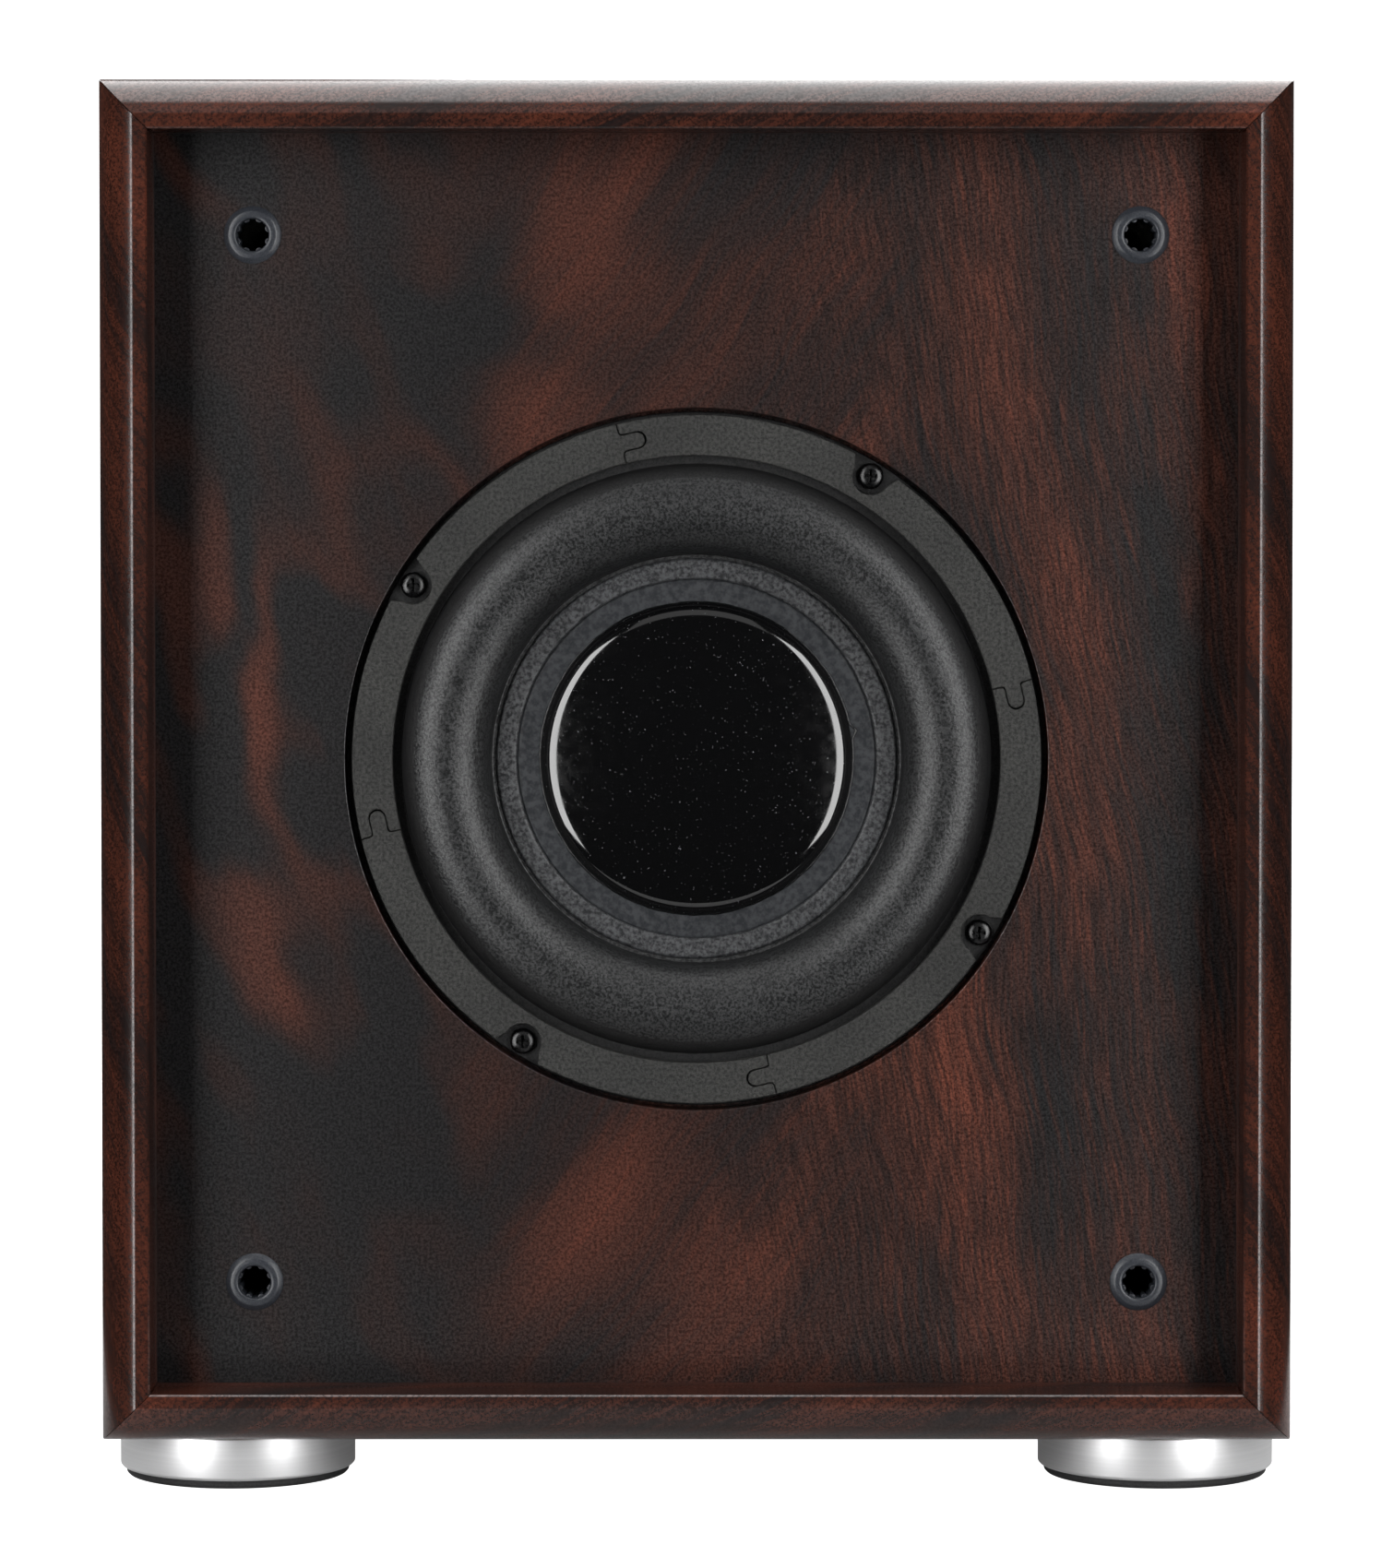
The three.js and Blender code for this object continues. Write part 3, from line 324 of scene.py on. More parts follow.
def blended(obj, node, still, moving, axis=DRIVER):
    """A piece that follows the cone by its distance from the driver's axis.

    It stays still from one radius outwards and moves with the cone from the other inwards.
    """
    y, z = axis[1] * MM, axis[2] * MM
    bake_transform(obj, CABINET, CONE, (still * MM, y, z), (moving * MM, y, z))
    share = obj.data.attributes["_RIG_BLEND"]
    for vertex, value in zip(obj.data.vertices, share.data):
        radius = math.hypot(vertex.co.x, vertex.co.z - MIDDLE * MM) / MM
        t = min(1, max(0, (still - radius) / (still - moving)))
        value.value = t * t * (3 - 2 * t)
    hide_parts(node)


# ------------------------------------------------------------------ material helpers
class Surface:
    """A node material whose calls add nodes and return their output sockets."""

    def __init__(self, name):
        self.material = bpy.data.materials.new(name)
        self.material.use_nodes = True
        self.tree = self.material.node_tree
        self.shader = self.tree.nodes["Principled BSDF"]

    def add(self, kind, **settings):
        node = self.tree.nodes.new(kind)
        for key, value in settings.items():
            setattr(node, key, value)
        return node

    def feed(self, socket, value):
        if isinstance(value, bpy.types.NodeSocket):
            self.tree.links.new(value, socket)
        elif value is not None:
            socket.default_value = value

    def set(self, **inputs):
        for key, value in inputs.items():
            self.feed(self.shader.inputs[key.replace("_", " ")], value)
        return self.material

    def place(self):
        return self.add("ShaderNodeTexCoord").outputs["Object"]

    def laid(self):
        """The piece's own flat coordinates, in metres along and across the foil."""
        return self.add("ShaderNodeTexCoord").outputs["UV"]

    def maths(self, operation, a, b=0.0, c=None):
        node = self.add("ShaderNodeMath", operation=operation)
        for socket, value in zip(node.inputs, (a, b, c)):
            self.feed(socket, value)
        return node.outputs[0]

    def scaled(self, value, factor, plus=None):
        """value * factor + plus"""
        operation = "MULTIPLY" if plus is None else "MULTIPLY_ADD"
        return self.maths(operation, value, factor, plus)

    def split(self, vector):
        node = self.add("ShaderNodeSeparateXYZ")
        self.feed(node.inputs[0], vector)
        return node.outputs

    def vector(self, x=0.0, y=0.0, z=0.0):
        node = self.add("ShaderNodeCombineXYZ")
        for socket, value in zip(node.inputs, (x, y, z)):
            self.feed(socket, value)
        return node.outputs[0]

    def noise(self, vector, scale, detail=3.0, roughness=0.5):
        node = self.add("ShaderNodeTexNoise")
        settings = dict(Vector=vector, Scale=scale, Detail=detail, Roughness=roughness)
        for key, value in settings.items():
            self.feed(node.inputs[key], value)
        return node.outputs["Fac"]

    def between(self, value, low, high, to_low=0.0, to_high=1.0):
        node = self.add("ShaderNodeMapRange", interpolation_type="SMOOTHSTEP")
        for socket, amount in zip(node.inputs, (value, low, high, to_low, to_high)):
            self.feed(socket, amount)
        return node.outputs[0]

    def blend(self, factor, a, b, mode="MIX"):
        node = self.add("ShaderNodeMix", data_type="RGBA", blend_type=mode)
        self.feed(node.inputs[0], factor)
        self.feed(node.inputs[6], a)
        self.feed(node.inputs[7], b)
        return node.outputs[2]

    def tinted(self, colour, tone):
        """The colour times a grey tone."""
        return self.blend(1.0, colour, self.vector(tone, tone, tone), "MULTIPLY")

    def bump(self, height, strength, distance):
        node = self.add("ShaderNodeBump")
        for key, value in dict(Strength=strength, Distance=distance * MM, Height=height).items():
            self.feed(node.inputs[key], value)
        return node.outputs[0]


def rgb(red, green, blue):
    """An sRGB colour given as 0 to 255 values, as linear RGBA."""

    def linear(value):
        value /= 255
        return value / 12.92 if value <= 0.04045 else ((value + 0.055) / 1.055) ** 2.4

    return (linear(red), linear(green), linear(blue), 1.0)


# ------------------------------------------------------------------ materials
CHAR = rgb(22, 21, 22)
DEEP = rgb(40, 23, 19)
BROWN = rgb(63, 32, 23)
LIGHT = rgb(87, 43, 30)


def grain(s, across, along, lean, seed, smooth=0.0):
    """How red the foil is where its grain leans by that slope: soft bands with lines in them."""
    flow = s.scaled(along, lean, across)
    wander = s.noise(s.vector(across, along, seed), 7.0, 2.0)
    flow = s.scaled(wander, 0.045, flow)
    bands = s.noise(s.vector(flow, s.scaled(along, 0.22), seed), 34.0, 3.0, 0.5)
    lines = s.noise(s.vector(flow, s.scaled(along, 0.04), seed), 640.0, 4.0, 0.7)
    clouds = s.noise(s.vector(flow, s.scaled(along, 0.45), seed + 4), 17.0, 3.0, 0.5)
    sharp = s.scaled(bands, 0.55, s.scaled(clouds, 0.45))
    lined = s.scaled(lines, 0.62, s.scaled(sharp, 1.0, -0.31))
    return s.scaled(s.maths("SUBTRACT", lined, clouds), 1 - smooth, clouds)


def flames(s, across, along, lean, seed, swirls):
    """Dark foil with curling redder bands, as contours of a stretched cloud."""
    flow = s.scaled(along, lean, across)
    cloud = s.noise(s.vector(flow, s.scaled(along, 0.5), seed), 15.0, 2.5, 0.45)
    band = s.maths("SINE", s.scaled(cloud, swirls))
    strength = s.noise(s.vector(across, along, seed + 3), 11.0, 2.0)
    strength = s.between(strength, 0.35, 0.65, 0.02, 0.14)
    fine = s.noise(s.vector(flow, s.scaled(along, 0.2), seed), 260.0, 4.0, 0.7)
    redness = s.scaled(band, strength, 0.415)
    return s.scaled(fine, 0.16, s.maths("SUBTRACT", redness, 0.08))


def patch(s, across, along, middle, size, tilt, warp):
    """1 inside a soft oval of foil and 0 well outside it; lengths are in millimetres."""
    x = s.maths("SUBTRACT", across, middle[0] * MM)
    z = s.maths("SUBTRACT", along, middle[1] * MM)
    c, n = math.cos(math.radians(tilt)), math.sin(math.radians(tilt))
    u = s.scaled(x, c, s.scaled(z, n))
    v = s.scaled(z, c, s.scaled(x, -n))
    u = s.maths("DIVIDE", u, size[0] * MM)
    v = s.maths("DIVIDE", v, size[1] * MM)
    reach = s.maths("SQRT", s.scaled(u, u, s.scaled(v, v)))
    return s.between(s.maths("ADD", reach, warp), 0.2, 1.6, 1.0, 0.0)


def foil_finish(s, redness, place, roughness=0.36, emboss_depth=0.06, lines=0.5, fleck=1.0):
    """The foil's colours and its embossed satin face, with fine dark pores where lines is low."""
    shade_one = s.blend(s.between(redness, 0.36, 0.53), CHAR, DEEP)
    shade_two = s.blend(s.between(redness, 0.47, 0.64), shade_one, BROWN)
    colour = s.blend(s.between(redness, 0.59, 0.82), shade_two, LIGHT)
    emboss = s.noise(place, 1150.0, 3.0, 0.75)
    speck = s.between(emboss, 0.36, 0.64, 0.45, 1.55)
    speck = s.scaled(speck, s.between(lines, 0.38, 0.60, 0.5, 1.25))
    colour = s.tinted(colour, speck)
    rough = s.maths("ADD", s.between(emboss, 0.36, 0.64, 0.07, -0.07), roughness)
    gloss = s.between(emboss, 0.36, 0.64, 0.5 - 0.35 * fleck, 0.5 + 0.3 * fleck)
    bump = s.bump(emboss, 1.0, emboss_depth)
    return s.set(Base_Color=colour, Roughness=rough, Specular_IOR_Level=gloss, Normal=bump)


# Soft patches of the baffle's figure: [across, up from the middle], half sizes in millimetres,
# tilt in degrees, and how much redder (or darker) they make it.
BAFFLE_PATCHES = [
    ((-84, -100), (40, 60), 8, -0.05),
    ((-62, 128), (26, 10), -12, -0.10),
    ((-36, 150), (22, 20), -35, 0.06),
    ((-50, 98), (26, 14), -30, 0.07),
    ((-134, 30), (7, 44), 14, 0.12),
    ((-112, 92), (6, 34), 20, 0.08),
    ((-122, -70), (9, 30), 26, 0.09),
    ((-10, -148), (46, 30), -40, 0.10),
    ((60, -120), (18, 50), -8, 0.06),
    ((112, 20), (12, 70), 8, 0.08),
    ((138, 62), (7, 80), 5, -0.11),
    ((148, 120), (6, 50), 8, 0.09),
]


def baffle_foil():
    """Crotch-figured rosewood foil: the grain leans one way left of the middle, the other right."""
    s = Surface("baffle_foil")
    across, _, height = s.split(s.place())
    along = s.maths("SUBTRACT", height, MIDDLE * MM)
    left = flames(s, across, along, 0.34, 2.0, 38.0)
    centre_part = grain(s, across, along, -0.62, 5.0, 0.35)
    right = grain(s, across, along, 0.20, 9.0, 0.0)
    edge = s.scaled(s.noise(s.place(), 14.0, 2.0), 0.05, across)
    redness = left
    for start, end, part in ((-0.065, -0.015, centre_part), (0.06, 0.10, right)):
        share = s.between(edge, start, end)
        redness = s.scaled(s.maths("SUBTRACT", part, redness), share, redness)
    warp = s.scaled(s.noise(s.place(), 34.0, 5.0, 0.6), 1.9, -0.95)
    for middle, size, tilt, weight in BAFFLE_PATCHES:
        soft = patch(s, across, along, middle, size, tilt, warp)
        redness = s.scaled(soft, weight, redness)
    redness = s.maths("ADD", redness, 0.01)
    flow = s.scaled(along, 0.17, across)
    flow = s.scaled(s.noise(s.place(), 9.0, 2.0), 0.03, flow)
    pores = s.noise(s.vector(flow, s.scaled(along, 0.05), 1.0), 1100.0, 3.0, 0.6)
    pores = s.scaled(s.maths("SUBTRACT", pores, 0.5), s.between(edge, 0.0, 0.09), 0.5)
    return foil_finish(s, redness, s.place(), lines=pores)


def wrap_foil():
    """The same foil on the cabinet's walls, its figure slanting across them; the front shines more."""
    s = Surface("wrap_foil")
    along, across, _ = s.split(s.laid())
    redness = grain(s, s.scaled(along, 0.55), across, 0.9, 3.0, 0.3)
    lines = s.noise(s.vector(s.scaled(along, 0.12), across, 6.0), 300.0, 3.0, 0.55)
    redness = s.scaled(lines, 0.2, s.maths("ADD", redness, -0.03))
    _, y, _ = s.split(s.place())
    rough = s.between(y, (FRONT + 12) * MM, (FRONT + 24) * MM, 0.19, 0.42)
    return foil_finish(s, redness, s.place(), rough, 0.007, fleck=0.3)


def plain_foil():
    """Straight-grained foil for the rear panel."""
    s = Surface("rear_foil")
    across, _, along = s.split(s.place())
    return foil_finish(s, grain(s, across, along, 0.12, 14.0, 0.1), s.place())


def speckled(name, colour, roughness, grain, depth, strength, variation, sparkle=0.1):
    """A plain moulded or coated surface: a fine bump of that grain size, and a slight mottle."""
    s = Surface(name)
    fine = s.noise(s.place(), 1 / (grain * MM), 3.0, 0.65)
    broad = s.noise(s.place(), 30.0, 3.0, 0.55)
    tone = s.between(broad, 0.25, 0.75, 1 - variation, 1 + variation)
    tone = s.scaled(tone, s.between(fine, 0.3, 0.7, 1 - 2 * variation, 1 + 2 * variation))
    tinted = s.tinted(colour, tone)
    wear = s.between(fine, 0.3, 0.7, roughness - 0.06, roughness + 0.06)
    gloss = s.between(fine, 0.35, 0.65, 0.5 - sparkle, 0.5 + 2 * sparkle)
    bump = s.bump(fine, strength, depth)
    return s.set(Base_Color=tinted, Roughness=wear, Specular_IOR_Level=gloss, Normal=bump)


def dusty_gloss(name, colour, roughness):
    """Smooth gloss with settled dust: sparse pale specks and a few short fibres."""
    s = Surface(name)
    specks = s.between(s.noise(s.place(), 1500.0, 2.0, 0.6), 0.69, 0.74)
    x, _, z = s.split(s.place())
    bent = s.scaled(s.noise(s.place(), 160.0, 1.0), 0.01, x)
    fibre = s.noise(s.vector(s.scaled(bent, 4.0), z, 0.0), 420.0, 1.0)
    fibre = s.between(fibre, 0.80, 0.83)
    dust = s.maths("MAXIMUM", specks, fibre)
    haze = s.between(s.noise(s.place(), 300.0, 3.0), 0.3, 0.7, -0.02, 0.03)
    rough = s.maths("ADD", s.scaled(dust, 0.5, roughness), haze)
    colour = s.blend(dust, colour, rgb(92, 92, 96))
    return s.set(Base_Color=colour, Roughness=rough, Specular_IOR_Level=0.9)


def plated(name, colour, roughness):
    """Bright plating with a faint cloudiness and hairline wear in its gloss."""
    s = Surface(name)
    cloud = s.noise(s.place(), 90.0, 4.0, 0.6)
    scratch = s.noise(s.place(), 2600.0, 2.0, 0.7)
    tone = s.between(cloud, 0.25, 0.75, 0.86, 1.05)
    tinted = s.tinted(colour, tone)
    rough = s.maths("ADD", s.between(cloud, 0.3, 0.7, -0.06, 0.06), roughness)
    return s.set(Base_Color=tinted, Metallic=1.0, Roughness=rough, Normal=s.bump(scratch, 0.3, 0.01))


def tinted_lens(name, colour):
    """A moulded lens with light scattered inside it."""
    s = Surface(name)
    depth = s.between(s.noise(s.place(), 700.0, 2.0), 0.3, 0.7, 0.8, 1.1)
    tinted = s.tinted(colour, depth)
    return s.set(Base_Color=tinted, Roughness=0.12, Transmission_Weight=0.5, IOR=1.5)


def turned_metal(name, colour, roughness):
    """Metal turned on a lathe: fine rings round an upright axis, which stretch its gloss."""
    s = Surface(name)
    height = s.split(s.place())[2]
    rings = s.noise(s.vector(0.0, 0.0, height), 4000.0, 3.0, 0.7)
    streak = s.noise(s.vector(0.0, 0.0, height), 900.0, 2.0, 0.5)
    tone = s.between(streak, 0.3, 0.7, 0.93, 1.0)
    tinted = s.tinted(colour, tone)
    rough = s.between(rings, 0.3, 0.7, roughness - 0.05, roughness + 0.05)
    return s.set(Base_Color=tinted, Metallic=1.0, Roughness=rough, Normal=s.bump(rings, 0.4, 0.01))


FOIL_BAFFLE = baffle_foil()
FOIL_WRAP = wrap_foil()
FOIL_REAR = plain_foil()
# The numbers of a speckled surface: roughness, the grain's size and the bump's depth in
# millimetres, the bump's strength, and how far the tone and then the gloss vary.
RUBBER = speckled("surround_rubber", rgb(17, 18, 19), 0.44, 0.8, 0.16, 0.9, 0.25, 0.16)
FOAM = speckled("gasket_foam", rgb(31, 31, 29), 0.75, 1.0, 0.4, 1.0, 0.32)
LIP = speckled("cone_lip", rgb(36, 38, 41), 0.42, 1.6, 0.02, 0.3, 0.08)
GLUED = speckled("glued_flange", rgb(38, 39, 41), 0.5, 1.2, 0.2, 0.9, 0.25, 0.2)
CAP = dusty_gloss("gloss_cap", rgb(5, 5, 6), 0.08)
PLASTIC = speckled("black_plastic", rgb(24, 26, 30), 0.35, 0.4, 0.02, 0.4, 0.1)
SOCKET = speckled("socket_plastic", rgb(40, 43, 49), 0.38, 0.4, 0.02, 0.4, 0.1)
STEEL = speckled("black_steel", rgb(22, 23, 25), 0.45, 0.5, 0.04, 0.5, 0.1)
SCREW = speckled("screw_black", rgb(5, 5, 6), 0.3, 1.0, 0.01, 0.3, 0.1)
FRAME = speckled("frame_black", rgb(7, 7, 8), 0.6, 0.6, 0.03, 0.5, 0.1)
GLUE = speckled("set_glue", rgb(14, 15, 16), 0.15, 0.8, 0.02, 0.4, 0.1)
CLOTH = speckled("treated_cloth", rgb(170, 130, 70), 0.9, 0.8, 0.1, 0.6, 0.2)
PAD = speckled("pad_rubber", rgb(30, 30, 31), 0.7, 0.6, 0.04, 0.5, 0.1)
ZINC = plated("zinc_plate", rgb(168, 170, 172), 0.35)
NICKEL = plated("nickel_plate", rgb(200, 196, 186), 0.22)
COPPER = plated("enamelled_copper", rgb(168, 88, 48), 0.32)
SINK = speckled("anodised_black", rgb(20, 20, 22), 0.42, 0.25, 0.01, 0.3, 0.1)
FERRITE = speckled("ferrite", rgb(44, 44, 46), 0.75, 0.8, 0.06, 0.6, 0.15)
WADDING = speckled("polyester_wadding", rgb(228, 226, 220), 0.95, 0.6, 0.5, 0.9, 0.06)
BOARD = speckled("board_green", rgb(26, 74, 40), 0.35, 0.8, 0.02, 0.4, 0.12)
RED = speckled("red_plastic", rgb(150, 22, 24), 0.35, 0.4, 0.02, 0.4, 0.1)
WHITE = speckled("white_plastic", rgb(225, 225, 220), 0.35, 0.4, 0.02, 0.4, 0.05)
INK = speckled("pale_ink", rgb(205, 206, 208), 0.5, 0.15, 0.005, 0.4, 0.05)
LENS = tinted_lens("blue_lens", rgb(40, 90, 210))
FOOT_METAL = turned_metal("turned_aluminium", rgb(240, 240, 241), 0.42)


# ------------------------------------------------------------------ cabinet
MOULDING_RADIUS = 16.8
MOULDING_START = math.radians(22)
MOULDING_END = math.radians(78)
CREASE_RADIUS = 2.5  # of the soft fold between the moulding and the flat front land
LAND_FOLD = 0.5  # across the land's inner edge
JOINT_GAP = 0.3
BAFFLE = 18  # thickness
BAFFLE_GROOVE = 5
REAR_PANEL = 15  # thickness
REAR_REBATE = 7
REAR_INSET = 6


def wall_section():
    """A wall's section as [distance in from the outer face, y], from the rear round to the rear."""
    moulding = []
    crease_depth = CREASE_RADIUS * (1 - math.cos(MOULDING_START))
    for k in range(25):
        turn = MOULDING_END + (MOULDING_START - MOULDING_END) * k / 24
        inward = MOULDING_RADIUS * (math.sin(MOULDING_END) - math.sin(turn))
        behind = MOULDING_RADIUS * (math.cos(MOULDING_START) - math.cos(turn))
        moulding.append((inward, FRONT + behind + crease_depth))
    reach = moulding[-1][0]
    for k in range(1, 7):
        turn = MOULDING_START * (1 - k / 6)
        inward = reach + CREASE_RADIUS * (math.sin(MOULDING_START) - math.sin(turn))
        moulding.append((inward, FRONT + CREASE_RADIUS * (1 - math.cos(turn))))
    groove = PANEL - BAFFLE_GROOVE
    groove_front = BAFFLE_FACE - JOINT_GAP
    groove_back = BAFFLE_FACE + BAFFLE + JOINT_GAP
    rebate = REAR - REAR_INSET - REAR_PANEL - JOINT_GAP
    section = [(0.5, REAR), (0, REAR - 0.5), *moulding]
    section += [(PANEL - LAND_FOLD, FRONT), (PANEL, FRONT + LAND_FOLD), (PANEL, groove_front)]
    section += [(groove, groove_front), (groove, groove_back), (PANEL, groove_back), (PANEL, rebate)]
    return section + [(PANEL - REAR_REBATE, rebate), (PANEL - REAR_REBATE, REAR)]


def wall(node, length, turn, reach):
    """One mitred wall, built lying along X with its outer face up and then turned into place."""
    section = wall_section()
    count = len(section)
    laid = [0.0]
    for a, b in zip(section, section[1:]):
        laid.append(laid[-1] + math.dist(a, b))
    vertices, flat = [], []
    for side in (-1, 1):
        for (inward, y), across in zip(section, laid):
            along = side * (length / 2 - inward - JOINT_GAP / 2)
            vertices.append((along, y, reach - inward))
            flat.append((along * MM, across * MM))
    faces = [(k, (k + 1) % count, (k + 1) % count + count, k + count) for k in range(count)]
    ends = tessellate_polygon([[Vector((y, -inward, 0)) for inward, y in section]])
    faces += [list(t) for t in ends] + [[i + count for i in t] for t in ends]
    mesh = bpy.data.meshes.new(node)
    spin = Matrix.Rotation(turn, 4, "Y")
    moved = [(spin @ Vector(v) + Vector((0, 0, MIDDLE))) * MM for v in vertices]
    mesh.from_pydata(moved, [], faces)
    layer = mesh.uv_layers.new(name="laid")
    for loop in mesh.loops:
        layer.data[loop.index].uv = flat[loop.vertex_index]
    tidy(mesh)
    shade(mesh, 14)
    finished(linked("wood_" + node, mesh), FOIL_WRAP, "foil_wood", node)


def make_cabinet():
    wall("cabinet_top", WIDTH, 0, HEIGHT / 2)
    wall("cabinet_right", HEIGHT, math.pi / 2, WIDTH / 2)
    wall("cabinet_bottom", WIDTH, math.pi, HEIGHT / 2)
    wall("cabinet_left", HEIGHT, -math.pi / 2, WIDTH / 2)


# ------------------------------------------------------------------ baffle
BAFFLE_OPENING = 92  # radius
FLANGE_REBATE = 104  # radius
FLANGE_DEPTH = 8.4
SOCKET_HOLE = 6  # radius
SOCKETS = ["upper_left", "upper_right", "lower_left", "lower_right"]


def make_baffle():
    """Two plates: the face down to the driver's rebate, and the rest with the smaller opening."""
    half_x = WIDTH / 2 - PANEL + BAFFLE_GROOVE - JOINT_GAP
    half_z = HEIGHT / 2 - PANEL + BAFFLE_GROOVE - JOINT_GAP
    outer = [(-half_x, -half_z), (half_x, -half_z), (half_x, half_z), (-half_x, half_z)]
    holes = [circle(FLANGE_REBATE, steps=160)]
    for name in SOCKETS:
        x, _, z = centre(f"grille_socket_{name}")
        holes.append(circle(SOCKET_HOLE, x, z - MIDDLE, 32))
    front = plate("baffle_face", outer, holes, 0, FLANGE_DEPTH, 0.35, place=DRIVER)
    holes[0] = circle(BAFFLE_OPENING, steps=160)
    rest = plate("baffle_core", outer, holes, FLANGE_DEPTH, BAFFLE, 0.01, 1, DRIVER)
    finished(front, FOIL_BAFFLE, "foil_wood", "front_baffle")
    finished(rest, FOIL_BAFFLE, "foil_wood")


# ------------------------------------------------------------------ woofer
RIM_RADIUS = 103
RIM_FRONT = 5.3  # the depths of the driver's parts are counted from the baffle's face
SEAT_RADIUS = 93
SEAT_FRONT = 6.6
SHEET = 1.5
SHELF_DEPTH = 40
BASKET_BACK = 62
WINDOWS = 6
SCREW_CIRCLE = 98.5
SCREW_ANGLES = [math.radians(a) for a in (58.4, 148.4, 238.4, 328.4)]


def on_circle(radius, angle):
    return radius * math.cos(angle), radius * math.sin(angle)


def driver_ring(name, outline, finish, node=None, body=CABINET, edge=0.6, steps=96):
    """A piece turned round the driver's axis, from a [radius, depth] outline and (material, slot)."""
    ring = turned(name, softened(outline, edge), DRIVER, steps)
    return finished(ring, *finish, node, body)


def make_basket():
    """Pressed from sheet: the rim, a seat for the surround, arms, a shelf for the spider, a back."""
    seat, shelf, back = SEAT_FRONT + SHEET, SHELF_DEPTH + SHEET, BASKET_BACK - SHEET
    outer = [(RIM_RADIUS, RIM_FRONT), (RIM_RADIUS, seat), (89.6, seat), (84, 13)]
    outer += [(58.5, shelf), (54, shelf), (50, BASKET_BACK), (22, BASKET_BACK)]
    inner = [(22, back), (48.6, back), (52.6, SHELF_DEPTH), (57.4, SHELF_DEPTH), (82, 12.6)]
    inner += [(88, SEAT_FRONT), (SEAT_RADIUS, SEAT_FRONT), (SEAT_RADIUS, RIM_FRONT)]
    basket = turned("pressed_basket", softened(outer + inner, 0.6), DRIVER)
    tools = []
    for k in range(WINDOWS):
        middle = math.radians(360 / WINDOWS * k)
        spread = [math.radians(a) for a in range(-20, 21, 4)]
        window = [on_circle(80, middle + a) for a in spread]
        window += [on_circle(62, middle + a * 0.9) for a in reversed(spread)]
        tools.append(plate(f"window_{k}", window, [], 9, 45, place=DRIVER))
    finished(cut(basket, *tools), FRAME, "black_steel", "driver_basket")


FOAM_INNER = 90
FOAM_OUTER = 102
FOAM_FRONT = 0.5
NOTCH_RADIUS = 5.6
NOTCH_MOUTH = 7.4
TONGUE_RADIUS = 2.3
TONGUE_REACH = 4.8
TONGUE_TRACK = 96


def joint_line(grow):
    """One end of a foam piece, from its inner to its outer edge, as (radius, sideways)."""
    r = TONGUE_RADIUS + grow
    points = [(FOAM_INNER, 0), (TONGUE_TRACK - r - 0.8, 0), (TONGUE_TRACK - r - 0.2, -0.3)]
    points.append((TONGUE_TRACK - r, -1.0))
    for k in range(13):
        turn = math.pi - math.pi * k / 12
        outward = TONGUE_TRACK + r * math.cos(turn)
        points.append((outward, -TONGUE_REACH - r * math.sin(turn)))
    points += [(TONGUE_TRACK + r, -0.9), (TONGUE_TRACK + r + 0.2, -0.2)]
    points += [(TONGUE_TRACK + r + 0.8, 0.1), (FOAM_OUTER, 0.3)]
    return points


def turned_point(point, angle):
    radius, sideways = point
    across, up = on_circle(radius, angle)
    return across - sideways * math.sin(angle), up + sideways * math.cos(angle)


def arc(radius, start, end, steps):
    return [on_circle(radius, start + (end - start) * k / steps) for k in range(1, steps)]


def foam_outline(screw_angle):
    low = screw_angle - math.pi / 4
    high = screw_angle + math.pi / 4 - 0.25 / FOAM_OUTER
    mouth = math.asin(NOTCH_MOUTH / FOAM_OUTER)
    notch = []
    for k in range(17):
        turn = math.pi * k / 16
        inward = NOTCH_RADIUS * math.sin(turn)
        notch.append((SCREW_CIRCLE - inward, -NOTCH_RADIUS * math.cos(turn)))
    outline = [turned_point(p, low) for p in joint_line(0)]
    outline += arc(FOAM_OUTER, low, screw_angle - mouth, 24)
    outline.append(on_circle(FOAM_OUTER, screw_angle - mouth))
    outline += [turned_point(p, screw_angle) for p in notch]
    outline.append(on_circle(FOAM_OUTER, screw_angle + mouth))
    outline += arc(FOAM_OUTER, screw_angle + mouth, high, 24)
    outline += [turned_point(p, high) for p in reversed(joint_line(0.25))]
    outline += arc(FOAM_INNER, high, low, 48)
    return outline


def make_foam_ring():
    for k, angle in enumerate(SCREW_ANGLES, 1):
        name = f"foam_piece_{k}"
        foam = plate(name, foam_outline(angle), [], FOAM_FRONT, RIM_FRONT - 0.3, 0.35, place=DRIVER)
        finished(foam, FOAM, "foam", f"foam_ring_{k}")


def cross_screw(name, radius, height, place, facing=-1, shank=(2.1, 12)):
    """A pan-head screw with a cross recess, its head's underside at the origin before placing."""
    outline = [
        (0, facing * height),
        (radius * 0.55, facing * height * 0.95),
        (radius * 0.88, facing * height * 0.7),
        (radius, facing * height * 0.3),
        (radius, 0),
        (shank[0], 0),
        (shank[0], -facing * shank[1]),
        (0, -facing * (shank[1] + 2)),
    ]
    screw = turned(name, softened(outline, 0.4), place, 40)
    top = place[1] + facing * height
    reach, half = radius * 0.52, radius * 0.13
    deep = sorted([top + facing, top - facing * height * 0.62])
    x, z = place[0], place[2]
    bars = [
        block("slot", (x - reach, x + reach), deep, (z - half, z + half), 0.1),
        block("slot", (x - half, x + half), deep, (z - reach, z + reach), 0.1),
    ]
    return cut(screw, *bars)


